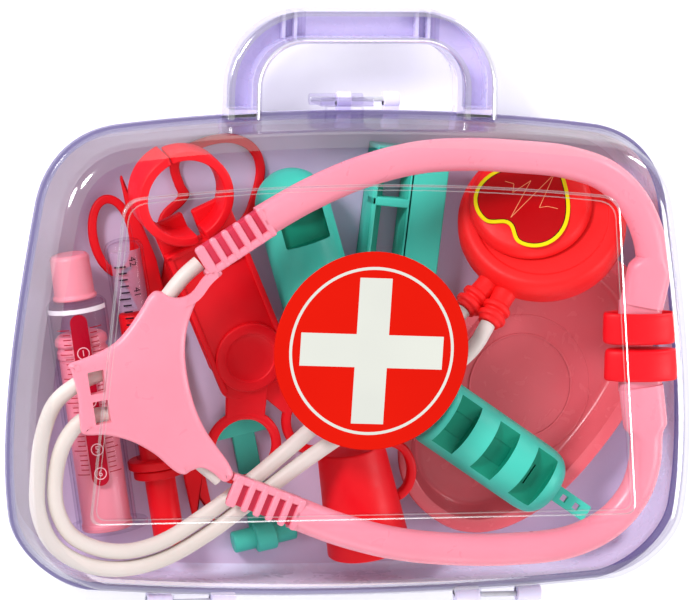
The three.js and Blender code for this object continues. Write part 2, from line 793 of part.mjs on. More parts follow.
// Ear tips: wide hollow cups on the ends of the arms, mouths towards the collars
function earTip(name, facing) {
  const [mouthX, mouthY] = tipPlaces[name];
  const oval = (inset) => {
    const shape = new THREE.Shape();
    shape.absellipse(0, 0, tipRadiusX - inset, tipRadiusZ - inset, 0, 2 * Math.PI);
    return shape;
  };
  const body = cut(
    extruded(oval(0), 0, tipHeight, tipSides / 2),
    extruded(oval(tipWall), tipFloor, tipHeight + overrun, tipSides / 2),
  );
  const group = new THREE.Group();
  group.position.set(mouthX, mouthY - facing * tipHeight, tipZ);
  group.rotation.x = -facing * Math.PI / 2;
  toyCase.add(group);
  piece(`ear_tip_${name}`, red, body, group);
}
earTip("upper", 1);
earTip("lower", -1);

// Tubes
for (const name of ["upper", "lower"]) {
  const points = tubePlaces[name].map((place) => new THREE.Vector3(...place));
  const extrudePath = new THREE.CatmullRomCurve3(points, false, "centripetal");
  const section = new THREE.Shape();
  section.absarc(0, 0, tubeRadius, 0, 2 * Math.PI);
  const settings = { steps: tubeSteps, extrudePath, curveSegments: tubeSides / 2 };
  piece(`stethoscope_tube_${name}`, cream, solid(new THREE.ExtrudeGeometry(section, settings)));
}

// Chest piece: a thick disc with a raised face and two ribbed nozzles
const chest = new THREE.Group();
chest.position.set(...chestPlace);
const leanAxis = new THREE.Vector3(0, 1, 0).applyAxisAngle(up, chestLeanToward * degree);
chest.quaternion.setFromAxisAngle(leanAxis, chestLean * degree);
toyCase.add(chest);

function turnedUp(profile, sides) {
  return turned(profile, sides).rotate([quarter, 0, 0]);
}
const chestHalf = chestHeight / 2;
const nozzleRings = Array.from({ length: nozzleRingCount }, (_, i) => {
  const from = nozzleEnd - 2 * (nozzleRingCount - i) * nozzleRingThick;
  const to = from + nozzleRingThick;
  return [[nozzleRadius, from], [nozzleRing, from], [nozzleRing, to], [nozzleRadius, to]];
}).flat();
const nozzle = (angle) => turned([
  [0, nozzleStart], [nozzleRadius, nozzleStart], ...nozzleRings, [nozzleRadius, nozzleEnd], [0, nozzleEnd],
], pinSides).rotate([0, 0, angle - quarter]).translate([0, 0, -nozzleDrop]);
piece("chest_piece_body", red, join(
  turnedUp([[0, -chestHalf], [chestBase, -chestHalf], [chestRadius, chestShoulder - chestHalf],
    [chestRadius, chestHalf - chestEase], [chestTop, chestHalf], [0, chestHalf]], chestSides),
  ...nozzleAngles.map(nozzle),
), chest);
const capFrom = chestHalf + gap;
piece("chest_piece_face", red, turnedUp([[0, capFrom], [chestCapRadius, capFrom],
  [chestCapTop, capFrom + chestCapHeight], [0, capFrom + chestCapHeight]], chestSides)
  .translate([...chestCapShift, 0]), chest);

function heartShape(size) {
  const half = heartShares.map(([x, y]) => new THREE.Vector2(x * size, y * size));
  const shape = new THREE.Shape();
  shape.moveTo(half[0].x, half[0].y);
  shape.bezierCurveTo(half[1].x, half[1].y, half[2].x, half[2].y, half[3].x, half[3].y);
  shape.bezierCurveTo(half[4].x, half[4].y, half[5].x, half[5].y, half[6].x, half[6].y);
  shape.bezierCurveTo(half[7].x, half[7].y, half[8].x, half[8].y, half[9].x, half[9].y);
  shape.bezierCurveTo(-half[8].x, half[8].y, -half[7].x, half[7].y, -half[6].x, half[6].y);
  shape.bezierCurveTo(-half[5].x, half[5].y, -half[4].x, half[4].y, -half[3].x, half[3].y);
  shape.bezierCurveTo(-half[2].x, half[2].y, -half[1].x, half[1].y, half[0].x, half[0].y);
  return shape;
}
const heartFrom = capFrom + chestCapHeight + gap;
const heart = new THREE.Group();
heart.position.set(...chestCapShift, 0);
heart.rotation.z = heartTurn * degree;
chest.add(heart);
piece("heart_sticker", paperRed,
  extruded(heartShape(heartSize), heartFrom, heartFrom + heartThick, outlineSteps), heart);

// Syringe, along local Y from its flange to its cap
const syringe = new THREE.Group();
syringe.position.set(...syringePlace);
syringe.rotation.z = syringeTurn * degree;
toyCase.add(syringe);
const barrelInner = barrelRadius - barrelWall;
piece("syringe_barrel", clear, turned([
  [barrelInner, 0], [flangeRadius, 0], [flangeRadius, flangeThick], [barrelRadius, flangeThick],
  [barrelRadius, barrelLength], [noseRadius, barrelLength], [noseRadius, barrelLength + noseLength],
  [noseBore, barrelLength + noseLength], [noseBore, barrelLength - barrelWall],
  [barrelInner, barrelLength - barrelWall], [barrelInner, 0],
]), syringe);
const capStart = barrelLength + gap;
piece("syringe_cap", pink, turned([
  [noseRadius + gap, capStart], [capRadius, capStart], [capRadius, capStart + capLength],
  [0, capStart + capLength], [0, capStart + capDepth], [noseRadius + gap, capStart + capDepth],
  [noseRadius + gap, capStart],
]), syringe);
const sealRadius = barrelInner - gap;
piece("syringe_plunger", pink, turned([
  [0, 0], [thumbRadius, 0], [thumbRadius, thumbThick], [rodRadius, thumbThick],
  [rodRadius, sealTop - sealThick], [sealRadius, sealTop - sealThick], [sealRadius, sealTop], [0, sealTop],
]), syringe);

// Thermometer, along local Y from its probe to the end of its clear tube
const thermometer = new THREE.Group();
thermometer.position.set(...thermometerPlace);
thermometer.rotation.z = thermometerTurn * degree;
toyCase.add(thermometer);
const glassFrom = collarThick + gap;
const glassInner = glassRadius - glassWall;
const glassTop = glassFrom + glassLength;
piece("thermometer_tube", clear, turned([
  [glassInner, glassFrom], [glassRadius, glassFrom], [glassRadius, glassTop - glassRadius / 2],
  [glassRadius / 2, glassTop], [0, glassTop], [0, glassTop - glassWall],
  [glassRadius / 2 - glassWall / 2, glassTop - glassWall], [glassInner, glassTop - glassRadius / 2],
  [glassInner, glassFrom],
]), thermometer);
piece("thermometer_stem", red, turned([
  [0, -collarThick - probeLength], [probeRadius / 2, -collarThick - probeLength],
  [probeRadius, probeRadius / 2 - collarThick - probeLength], [probeRadius, -collarThick],
  [collarSmall, -collarThick], [collarSmall, -gap], [collarNeck, -gap], [collarNeck, gap],
  [collarRadius, gap], [collarRadius, collarThick], [glassInner - gap, collarThick],
  [glassInner - gap, collarThick + stemPlug], [stemRadius, collarThick + stemPlug],
  [stemRadius, stemHeadFrom], [stemHead, stemHeadFrom], [stemHead, stemHeadTo], [0, stemHeadTo],
]), thermometer);

// Scissors lying flat: two blades that cross at a rivet
const scissors = new THREE.Group();
scissors.position.set(...scissorsPlace, scissorsFloor);
scissors.rotation.z = scissorsTurn * degree;
toyCase.add(scissors);

function scissorsBlade(side, loop, loopRoot, fromZ) {
  const toZ = fromZ + bladeThick;
  const tip = polygon([[side * bladeWidth / 2, 0], [-side * bladeWidth / 2, 0],
    [-side * bladeWidth / 2, -bladeLength * bladeTaperShare], [side * bladeWidth / 2, -bladeLength]]);
  const shank = polygon([[-bladeWidth / 2, 0], [bladeWidth / 2, 0],
    [loopRoot[0] + bladeWidth / 2, loopRoot[1]], [loopRoot[0] - bladeWidth / 2, loopRoot[1]]]);
  const boss = rod("z", scissorsBoss, [fromZ, toZ], [0, 0]);
  const bore = rod("z", scissorsRivet + gap, [fromZ - overrun, toZ + overrun], [0, 0], pinSides);
  return cut(join(extruded(tip, fromZ, toZ), extruded(shank, fromZ, toZ), loop, boss), bore);
}
const upperBladeZ = bladeThick + gap;
const loopSteps = 3 * fingerLoopPlaces.length;
const fingerLoop = cut(
  extruded(smoothPolygon(grown(fingerLoopPlaces, fingerLoopBand), loopSteps), 0, bladeThick),
  extruded(smoothPolygon(fingerLoopPlaces, loopSteps), -overrun, bladeThick + overrun),
);
piece("scissors_finger_blade", red,
  scissorsBlade(1, fingerLoop, fingerLoopRoot, 0), scissors);
const thumbLoop = extruded(ringShape(
  ...thumbLoopHalf, thumbLoopHalf[0] - thumbLoopBand, thumbLoopHalf[1] - thumbLoopBand, ...thumbLoopPlace,
), upperBladeZ, upperBladeZ + bladeThick);
const rivetTop = upperBladeZ + bladeThick;
const rivetHeadZ = rivetTop - rivetHeadThick;
const rivetSink = rod("z", scissorsRivetHead + gap, [rivetHeadZ - gap, rivetTop + overrun], [0, 0], pinSides);
piece("scissors_thumb_blade", red,
  cut(scissorsBlade(-1, thumbLoop, thumbLoopRoot, upperBladeZ), rivetSink), scissors);
piece("scissors_rivet", steel, join(
  rod("z", scissorsRivet, [0, rivetTop], [0, 0], pinSides),
  rod("z", scissorsRivetHead, [rivetHeadZ, rivetTop], [0, 0], pinSides),
), scissors);

// Places of a closed outline moved outwards by some distance
function grown(places, by) {
  return places.map((place, i) => {
    const before = places[(i + places.length - 1) % places.length];
    const after = places[(i + 1) % places.length];
    const along = new THREE.Vector2(after[0] - before[0], after[1] - before[1]).normalize();
    return [place[0] + along.y * by, place[1] - along.x * by];
  });
}

// Scalpel lying on the scissors
const scalpelAlong = new THREE.Vector2(scalpelTip[0] - scalpelEnd[0], scalpelTip[1] - scalpelEnd[1]);
const scalpelLength = scalpelAlong.length();
const scalpelHalf = scalpelWidth / 2;
const scalpelShoulder = scalpelLength - scalpelBladeLength;
piece("scalpel", red, extruded(polygon([
  [0, -scalpelHalf], [scalpelShoulder, -scalpelHalf], [scalpelLength, scalpelHalf / 2],
  [scalpelShoulder, scalpelHalf], [0, scalpelHalf],
]), 0, scalpelThick).rotate([0, 0, scalpelAlong.angle() / degree]).translate([...scalpelEnd, scalpelZ]));

// Ring-jaw forceps: two arms that cross at a rivet, each with half of the ring and a finger loop
const forceps = new THREE.Group();
forceps.position.set(...forcepsPlace);
forceps.rotation.set(forcepsTilt * degree, 0, forcepsTurn * degree, "ZYX");
toyCase.add(forceps);

// Half of the jaws' ring and its link down to the arm's plate: side 1 is the right half
function jawHalf(side, fromZ, plateTopZ) {
  const [x, y] = jawPlace;
  const reach = jawRadius + overrun;
  const ring = extruded(ringShape(jawRadius, jawRadius, jawRadius - jawWall, jawRadius - jawWall, x, y),
    fromZ, jawTop, forcepsSides / 2);
  const across = (from, to) => [x + side * from, x + side * to].sort((a, b) => a - b);
  const crease = across(-reach, jawCrease / 2);
  const slot = across(-reach, jawGap / 2);
  const link = [x + side * jawGap / 2, side * plateHalf].sort((a, b) => a - b);
  return join(
    cut(ring,
      block([crease[0], y, fromZ - overrun], [crease[1], y + reach, jawTop + overrun]),
      block([slot[0], y - reach, fromZ - overrun], [slot[1], y, jawTop + overrun])),
    block([link[0], plateTop - plateHalf, plateTopZ - armPlate], [link[1], y - jawRadius / 2, plateTopZ]),
  );
}

function fingerRing([x, y], fromZ, toZ) {
  return extruded(ringShape(loopRadius, loopRadius, loopRadius - loopBand, loopRadius - loopBand, x, y),
    fromZ, toZ, forcepsSides / 2);
}

function shankTo([x, y], fromZ, toZ) {
  const along = new THREE.Vector2(x, y);
  const reach = along.length() - loopRadius + loopBand;
  const shape = polygon([[0, -shankHalf], [reach, -shankHalf], [reach, shankHalf], [0, shankHalf]]);
  return extruded(shape, fromZ, toZ).rotate([0, 0, along.angle() / degree]);
}
const hollowOf = ([x, y], fromZ, toZ) =>
  rod("z", loopRadius - loopBand, [fromZ - overrun, toZ + overrun], [x, y], forcepsSides);
const rivetBore = rod("z", forcepsRivet + gap, [-3 * armPlate, armPlate], [0, 0], pinSides);
const plate = block([-plateHalf, plateBottom, -armPlate], [plateHalf, plateTop, 0]);
const bands = [-1, 1].map((side) => block(
  [side * plateHalf - (side > 0 ? plateBand : 0), plateBottom, -armPlate],
  [side * plateHalf + (side > 0 ? 0 : plateBand), plateTop, plateBandHeight],
));
const jawSpace = rod("z", jawRadius - jawWall, [-3 * armPlate, jawTop], jawPlace, forcepsSides);
const pivotBoss = cut(
  rod("z", pivotRadius, [-armPlate, pivotRise], [0, 0], forcepsSides),
  rod("z", pivotDish, [pivotRise / 2, pivotRise + overrun], [0, 0], forcepsSides),
);
piece("forceps_front_arm", red, cut(
  join(plate, ...bands, pivotBoss, jawHalf(1, -armPlate, 0), shankTo(fingerLoops.left, -armPlate, 0),
    fingerRing(fingerLoops.left, -armPlate, 0)),
  jawSpace, hollowOf(fingerLoops.left, -armPlate, 0), rivetBore,
), forceps);
const backTop = -armPlate - gap;
const backBottom = backTop - armPlate;
const backPlate = block([-plateHalf, 0, backBottom], [shankHalf, plateTop, backTop]);
piece("forceps_back_arm", red, cut(
  join(
    backPlate,
    rod("z", pivotRadius, [backBottom, backTop], [0, 0], forcepsSides),
    shankTo(fingerLoops.right, backBottom, backTop),
    fingerRing(fingerLoops.right, backBottom, backTop),
    jawHalf(-1, backBottom, backTop),
  ),
  jawSpace, hollowOf(fingerLoops.right, backBottom, backTop), rivetBore,
), forceps);
piece("forceps_rivet", steel, rod("z", forcepsRivet, [backBottom, pivotRise / 2], [0, 0], pinSides), forceps);

// Penlight lying on the floor, along local Y
function alongPlan(from, to, z) {
  const group = new THREE.Group();
  group.position.set(...from, z);
  group.rotation.z = Math.atan2(from[0] - to[0], to[1] - from[1]);
  toyCase.add(group);
  return group;
}
const distance = (from, to) => Math.hypot(to[0] - from[0], to[1] - from[1]);
const penlightLength = distance(penlightFrom, penlightTo);
const dome = (radius, middle, side) => domeShares.map(([out, along]) =>
  [radius * out, middle + side * radius * along]);
const penlightZ = shellWall + gap + penlightRadius;
const penlight = alongPlan(penlightFrom, penlightTo, penlightZ);
piece("penlight", teal, cut(
  turned([
    [0, -penlightRadius], ...dome(penlightRadius, 0, -1).reverse(),
    ...dome(penlightRadius, penlightLength, 1), [0, penlightLength + penlightRadius],
  ]),
  block([-penlightSlot[0] / 2, penlightLength * penlightSlotShare - penlightSlot[1] / 2,
    penlightRadius - penlightSlotDepth],
  [penlightSlot[0] / 2, penlightLength * penlightSlotShare + penlightSlot[1] / 2,
    penlightRadius + overrun]),
), penlight);

// Otoscope grip: a hollow handle with three curved finger slots and a hanging tab
const gripLength = distance(gripFrom, gripTo);
const grip = alongPlan(gripFrom, gripTo, gripZ);
const gripSlot = (y) => block(
  [-gripRadius, y - gripSlotWidth / 2, gripRadius - gripSlotDepth],
  [gripRadius, y + gripSlotWidth / 2, gripRadius + overrun],
);
const gripTab = cut(
  block([-tabWidth / 2, gripLength - gripEndRound, -tabThick / 2],
    [tabWidth / 2, gripLength + tabLength, tabThick / 2]),
  ...tabHoles.map((y) => block(
    [-tabHole / 2, gripLength + y - tabHole / 2, -tabThick],
    [tabHole / 2, gripLength + y + tabHole / 2, tabThick],
  )),
);
piece("otoscope_grip", teal, join(
  cut(
    turned([
      [gripHollow, 0], [gripRadius, 0], [gripRadius, gripLength - gripEndRound],
      [gripRadius - gripEndRound / 4, gripLength - gripEndRound / 3],
      [gripRadius - gripEndRound, gripLength], [0, gripLength],
      [0, gripLength - 2 * gripEndRound], [gripHollow, gripLength - 2 * gripEndRound], [gripHollow, 0],
    ]),
    ...gripSlots.map(gripSlot),
  ),
  gripTab,
), grip);

// Tweezers lying on edge: two arms, a bridge at the top and a guide across
const tweezers = new THREE.Group();
tweezers.position.set(...tweezersPlace, tweezersFloor);
tweezers.rotation.z = tweezersTurn * degree;
toyCase.add(tweezers);
const tweezersHalf = tweezersLength / 2;
piece("tweezers", teal, join(
  block([tweezersLeft[0], -tweezersHalf, 0], [tweezersLeft[1], tweezersHalf, tweezersWall]),
  block([tweezersLeft[0], -tweezersHalf, 0], [tweezersLeft[0] + tweezersWall, tweezersHalf, tweezersDepth]),
  block([tweezersRight[0], -tweezersHalf, 0],
    [tweezersRight[0] + tweezersWall, tweezersHalf, tweezersDepth]),
  block([tweezersRight[0], -tweezersHalf, tweezersDepth - tweezersWall],
    [tweezersRight[1], tweezersHalf, tweezersDepth]),
  block([tweezersLeft[0], tweezersHalf - tweezersBridge, 0],
    [tweezersRight[0] + tweezersWall, tweezersHalf, tweezersDepth]),
  block([tweezersLeft[0], tweezersCrossY, tweezersDepth / 2],
    [tweezersRight[0] + tweezersWall, tweezersCrossY + tweezersCross, tweezersDepth]),
), tweezers);

// Reflex hammer lying on the floor
const hammer = alongPlan(hammerHead, hammerEnd, hammerFloor);
const hammerLength = distance(hammerHead, hammerEnd);
piece("reflex_hammer", teal, join(
  extruded(polygon([[-hammerHeadHalf, hammerHeadTall / 2], [-hammerHeadHalf / 2, -hammerHeadTall / 2],
    [hammerHeadHalf / 2, -hammerHeadTall / 2], [hammerHeadHalf, hammerHeadTall / 2]]), 0, hammerThick),
  block([-hammerStemHalf, 0, 0], [hammerStemHalf, hammerLength, hammerThick]),
  rod("x", hammerRodRadius, [-hammerRodHalf, hammerRodHalf], [hammerLength, hammerRodLift / 2]),
  rod("x", hammerClipRadius, [-hammerClipHalf, hammerClipHalf], [hammerLength, hammerClipRadius]),
), hammer);

// Medicine cup on its side, mouth towards the hinges, with a ring handle on its right
const cup = new THREE.Group();
cup.position.set(...cupPlace);
cup.rotation.set(cupTilt * degree, 0, cupTurn * degree, "ZXY");
toyCase.add(cup);
const cupHandleY = cupLength - cupHandleFromBase;
const cupHandleX = cupMouth + (cupBase - cupMouth) * (cupHandleY / cupLength) - cupHandleInset;
const cupHandle = extruded(
  ringShape(...cupHandleHalf, ...cupHandleHalf.map((v) => v - cupHandleBand), cupHandleX, cupHandleY),
  -cupHandleThick / 2, cupHandleThick / 2,
);
const cupHollow = turned([[0, -overrun], [cupMouth - cupWall, -overrun],
  [cupBase - cupWall, cupLength - cupWall], [0, cupLength - cupWall]]);
piece("medicine_cup", red, join(
  cut(turned([[0, 0], [cupMouth, 0], [cupBase, cupLength], [0, cupLength]]), cupHollow),
  cut(cupHandle, turned([[0, -overrun], [cupMouth - cupWall / 2, -overrun],
    [cupBase - cupWall / 2, cupLength - cupWall / 2], [0, cupLength - cupWall / 2]])),
), cup);

// Oval dish lying on the floor
function dishRing(inset, z) {
  return Array.from({ length: dishSteps }, (_, i) => {
    const angle = (i / dishSteps) * 2 * Math.PI;
    const [c, s] = [Math.cos(angle), Math.sin(angle)];
    const x = Math.sign(c) * Math.abs(c) ** (2 / dishPower) * (dishHalf[0] - inset);
    const y = Math.sign(s) * Math.abs(s) ** (2 / dishPower) * (dishHalf[1] - inset);
    return new THREE.Vector3(x, y, z);
  });
}
const dish = new THREE.Group();
dish.position.set(...dishPlace, dishFloorZ);
dish.rotation.z = dishTurn * degree;
toyCase.add(dish);
piece("oval_dish", dishPink, loft([
  dishRing(dishRim + dishFlare, 0),
  dishRing(dishRim, dishHeight - dishWall),
  dishRing(0, dishHeight - dishWall),
  dishRing(0, dishHeight),
  dishRing(dishRim + dishWall, dishHeight),
  dishRing(dishRim + dishFlare + dishWall, dishWall),
]), dish);

export default toyCase;
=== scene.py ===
import math

import bmesh
import bpy
from mathutils import Matrix, Vector


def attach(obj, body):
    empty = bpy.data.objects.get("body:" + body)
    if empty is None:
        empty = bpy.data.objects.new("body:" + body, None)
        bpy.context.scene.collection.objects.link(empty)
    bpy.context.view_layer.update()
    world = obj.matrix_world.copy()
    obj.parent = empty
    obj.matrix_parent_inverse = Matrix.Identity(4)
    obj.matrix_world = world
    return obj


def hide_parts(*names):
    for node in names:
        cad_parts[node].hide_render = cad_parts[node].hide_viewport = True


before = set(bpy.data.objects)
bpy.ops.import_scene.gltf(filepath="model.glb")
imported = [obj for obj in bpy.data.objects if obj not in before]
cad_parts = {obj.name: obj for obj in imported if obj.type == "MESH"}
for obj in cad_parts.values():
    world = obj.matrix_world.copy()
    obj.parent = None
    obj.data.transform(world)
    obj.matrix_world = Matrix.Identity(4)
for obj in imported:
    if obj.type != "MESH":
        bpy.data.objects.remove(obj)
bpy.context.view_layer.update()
MM = 0.001
TINY = 1e-6


def linked(name, data):
    """New object in the scene"""
    made = bpy.data.objects.new(name, data)
    bpy.context.scene.collection.objects.link(made)
    return made


def turned_by(degrees, axis="Z"):
    return Matrix.Rotation(math.radians(degrees), 4, axis)


UPRIGHT = turned_by(90, "X")
ACROSS = turned_by(-90)

# Camera, at the photograph's angle
CAMERA_PLACE = Vector((-0.49474, 0.29885, 1.94431))
CAMERA_TARGET = Vector((-0.0022, 0.0205, 0.026))
CAMERA_ROLL = math.radians(1.45)
CAMERA_LENS = 275.4
CAMERA_SENSOR = 36


def add_camera():
    back = (CAMERA_PLACE - CAMERA_TARGET).normalized()
    up = Vector((0, 1, 0))
    up = (up - back * up.dot(back)).normalized()
    right = up.cross(back)
    turned_right = right * math.cos(CAMERA_ROLL) + up * math.sin(CAMERA_ROLL)
    turned_up = up * math.cos(CAMERA_ROLL) - right * math.sin(CAMERA_ROLL)
    axes = Matrix((turned_right, turned_up, back)).transposed().to_4x4()
    camera = linked("camera", bpy.data.cameras.new("camera"))
    camera.data.sensor_width = CAMERA_SENSOR
    camera.data.lens = CAMERA_LENS
    camera.matrix_world = Matrix.Translation(CAMERA_PLACE) @ axes
    bpy.context.scene.camera = camera


add_camera()


# Materials
def new_material(name):
    material = bpy.data.materials.new(name)
    material.use_nodes = True
    material.node_tree.nodes.clear()
    return material, material.node_tree


def feed(tree, socket, value):
    """Links a socket to another one, or sets its number or colour"""
    if isinstance(value, bpy.types.NodeSocket):
        tree.links.new(value, socket)
    else:
        socket.default_value = value


def node(tree, kind, **sockets):
    made = tree.nodes.new("ShaderNode" + kind)
    for name, value in sockets.items():
        feed(tree, made.inputs[name.replace("_", " ")], value)
    return made


def noise(tree, scale, detail=3, distortion=0):
    place = node(tree, "TexCoord").outputs["Object"]
    made = node(tree, "TexNoise", Vector=place, Scale=scale, Detail=detail, Distortion=distortion)
    return made.outputs["Fac"]


def ranged(tree, value, low, high, from_low=0.3, from_high=0.7):
    made = node(tree, "MapRange")
    for socket, number in zip(made.inputs, (value, from_low, from_high, low, high)):
        feed(tree, socket, number)
    return made.outputs[0]


def mixed(tree, value, first, second):
    made = node(tree, "Mix")
    made.data_type = "RGBA"
    made.inputs[6].default_value = (*first, 1)
    made.inputs[7].default_value = (*second, 1)
    tree.links.new(value, made.inputs[0])
    return made.outputs[2]


def calculated(tree, operation, first, second):
    made = node(tree, "Math")
    made.operation = operation
    feed(tree, made.inputs[0], first)
    feed(tree, made.inputs[1], second)
    return made.outputs[0]


def bumped(tree, value, strength, depth):
    return node(tree, "Bump", Height=value, Strength=strength, Distance=depth).outputs["Normal"]


PATCH_SCALE = 22
SMUDGE_SCALE = 140
GRAIN_SCALE = 1400
SOFT_RADIUS = (0.004, 0.002, 0.002)
RIPPLE = (0.25, 0.0004)
MIRROR_POWER = 4
TINT_POWER = 2.5
CLEAR_SHADE = (0.80, 0.78, 0.87)


def patched(tree, colour, deep, scale=PATCH_SCALE):
    return mixed(tree, ranged(tree, noise(tree, scale, 2), 0, 1), colour, deep)


def smudged(tree, rough):
    return ranged(tree, noise(tree, SMUDGE_SCALE, 4, 0.6), *rough)


def plastic(name, colour, deep, rough, grain=0.12, depth=0.0001, soft=0, alpha=1, ior=1.48):
    """Moulded plastic: slight colour patches, smudged gloss and a fine grain"""
    material, tree = new_material(name)
    surface = node(
        tree, "BsdfPrincipled", Alpha=alpha, IOR=ior, Subsurface_Weight=soft,
        Subsurface_Radius=SOFT_RADIUS, Base_Color=patched(tree, colour, deep),
        Roughness=smudged(tree, rough),
        Normal=bumped(tree, noise(tree, GRAIN_SCALE, 2), grain, depth),
    )
    node(tree, "OutputMaterial", Surface=surface.outputs[0])
    return material


def printed(name, colour, deep, rough=(0.3, 0.4), ior=1.2):
    return plastic(name, colour, deep, rough, 0.08, ior=ior)


def clear_plastic(name, tint, mirror, rough):
    """Clear moulded plastic: what is behind it shows, and its turned-away faces mirror the room"""
    material, tree = new_material(name)
    facing = node(tree, "LayerWeight", Blend=0.5).outputs["Facing"]
    shade = mixed(tree, calculated(tree, "POWER", facing, TINT_POWER), tint, CLEAR_SHADE)
    amount = ranged(tree, calculated(tree, "POWER", facing, MIRROR_POWER), *mirror, 0, 1)
    front = ranged(tree, node(tree, "NewGeometry").outputs["Backfacing"], 1, 0, 0, 1)
    through = node(tree, "BsdfTransparent", Color=shade)
    ripple = bumped(tree, noise(tree, PATCH_SCALE, 2), *RIPPLE)
    gloss = node(tree, "BsdfGlossy", Roughness=smudged(tree, rough), Normal=ripple)
    mix = node(tree, "MixShader")
    feed(tree, mix.inputs[0], calculated(tree, "MULTIPLY", amount, front))
    feed(tree, mix.inputs[1], through.outputs[0])
    feed(tree, mix.inputs[2], gloss.outputs[0])
    node(tree, "OutputMaterial", Surface=mix.outputs[0])
    return material


GLOSSY = (0.22, 0.36)
MIDDLE = (0.3, 0.44)
SATIN = (0.36, 0.5)
DULL = (0.4, 0.5)
lavender = plastic("lavender plastic", (0.80, 0.76, 0.95), (0.74, 0.69, 0.93), GLOSSY, soft=0.15)
lavender_handle = plastic(
    "lavender handle", (0.75, 0.68, 0.94), (0.70, 0.63, 0.92), GLOSSY, soft=0.15
)
# The inner floor: the shell's lavender painted darker and pinker, as painted shade and painted pink
# light reflected from the toys
lavender_floor_painted_shade = plastic("lavender floor painted shade", (0.66, 0.54, 0.73), (0.58, 0.46, 0.65), MIDDLE)
# The rim under the lid: the shell's lavender painted dark violet, as painted shade in the joint
# between lid and shell
lavender_seam_painted_shade = plastic("lavender seam painted shade", (0.14, 0.11, 0.30), (0.12, 0.09, 0.26), MIDDLE)
clear = clear_plastic("clear lid", (0.995, 0.992, 1.0), (0, 0.4), (0.03, 0.1))
clear_side = clear_plastic("clear lid side", (0.985, 0.98, 0.995), (0.17, 0.75), (0.05, 0.14))
clear_edge = clear_plastic("clear lid edge", (0.97, 0.96, 0.985), (0.4, 0.7), (0.08, 0.2))
clear_hasp = clear_plastic("clear hasp", (0.93, 0.91, 0.985), (0.12, 0.7), (0.08, 0.2))
clear_thin = clear_plastic("clear tube", (0.99, 0.978, 0.982), (0.01, 0.6), (0.04, 0.12))
pink = plastic("pink plastic", (0.83, 0.27, 0.34), (0.79, 0.24, 0.305), (0.26, 0.4), soft=0.2)
# The comb's core under its ribs: the headset's pink painted darker, as painted shade in the slots
pink_painted_shade = plastic("pink plastic painted shade", (0.66, 0.05, 0.10), (0.56, 0.03, 0.07), DULL, ior=1.3)
cream = plastic("cream tube", (0.66, 0.59, 0.54), (0.61, 0.54, 0.48), (0.38, 0.5), soft=0.1)
red = plastic("red plastic", (0.82, 0.006, 0.014), (0.74, 0.004, 0.010), SATIN, ior=1.3)
chest_red = plastic(
    "red soft plastic", (0.84, 0.012, 0.012), (0.78, 0.008, 0.010), (0.42, 0.56), 0.25, 0.0002,
    ior=1.32,
)
teal = plastic("teal plastic", (0.07, 0.60, 0.46), (0.05, 0.52, 0.40), SATIN, ior=1.34)
# Hollows, bores and recesses of the teal tools: the teal painted darker, as painted shade
teal_painted_shade = plastic("teal plastic painted shade", (0.003, 0.27, 0.17), (0.002, 0.22, 0.13), DULL, ior=1.3)
dish_pink = plastic(
    "dish plastic", (0.84, 0.15, 0.18), (0.77, 0.125, 0.15), (0.16, 0.3), alpha=0.92
)
steel = plastic("steel", (0.62, 0.63, 0.66), (0.52, 0.53, 0.56), (0.2, 0.35), 0.2)
paper_red = printed("printed red", (0.56, 0.006, 0.001), (0.53, 0.005, 0.001), (0.5, 0.6), 1.12)
paper_white = printed("printed white", (0.52, 0.53, 0.49), (0.56, 0.57, 0.52), DULL)
heart_red = printed("printed dark red", (0.42, 0.002, 0.004), (0.36, 0.002, 0.003))
heart_yellow = printed("printed yellow", (0.76, 0.66, 0.005), (0.71, 0.59, 0.005))
heart_dark = printed("printed line", (0.04, 0.006, 0.004), (0.03, 0.005, 0.003))
heart_line = printed("printed pale line", (0.86, 0.36, 0.16), (0.80, 0.30, 0.13))
scale_red = printed("label red", (0.42, 0.003, 0.02), (0.36, 0.002, 0.016))
scale_black = printed("label black", (0.02, 0.008, 0.02), (0.014, 0.006, 0.014))
scale_pale = printed("label pale", (0.82, 0.42, 0.47), (0.76, 0.36, 0.41))
# A pale band round the barrel just under its shoulder: a painted highlight of the thick clear
# shoulder
scale_painted_highlight = printed("label painted highlight band", (0.86, 0.80, 0.84), (0.80, 0.73, 0.78), ior=1.48)
scale_back = plastic(
    "scale back", (0.50, 0.36, 0.50), (0.44, 0.31, 0.45), (0.3, 0.4), 0.08, alpha=0.55
)


# Lines in plan and in space, in millimetres
def smooth_line(points, steps, closed=False):
    """Centripetal curve through the points"""
    points = [Vector((*p, 0)) if len(p) == 2 else Vector(p) for p in points]
    count = len(points)
    line = []
    for i in range(count if closed else count - 1):
        b = points[i]
        c = points[(i + 1) % count]
        a = points[i - 1] if closed or i > 0 else 2 * b - c
        d = points[(i + 2) % count] if closed or i + 2 < count else 2 * c - b
        ab = max((b - a).length ** 0.5, 1e-4)
        bc = max((c - b).length ** 0.5, 1e-4)
        cd = max((d - c).length ** 0.5, 1e-4)
        start = ((b - a) / ab - (c - a) / (ab + bc) + (c - b) / bc) * bc
        end = ((c - b) / bc - (d - b) / (bc + cd) + (d - c) / cd) * bc
        for k in range(steps):
            t = k / steps
            line.append(
                b * (2 * t**3 - 3 * t**2 + 1) + start * (t**3 - 2 * t**2 + t)
                + c * (3 * t**2 - 2 * t**3) + end * (t**3 - t**2)
            )
    return line if closed else line + [points[-1]]


def flat_line(points, steps, closed=True):
    return [(p.x, p.y) for p in smooth_line(points, steps, closed)]


def bezier(points, steps):
    """Points of a Bezier segment of two or three control points, without its first"""
    line = []
    for k in range(1, steps + 1):
        level = [Vector(p) for p in points]
        while len(level) > 1:
            level = [a.lerp(b, k / steps) for a, b in zip(level, level[1:])]
        line.append((level[0].x, level[0].y))
    return line


STRAIGHT = math.radians(172)


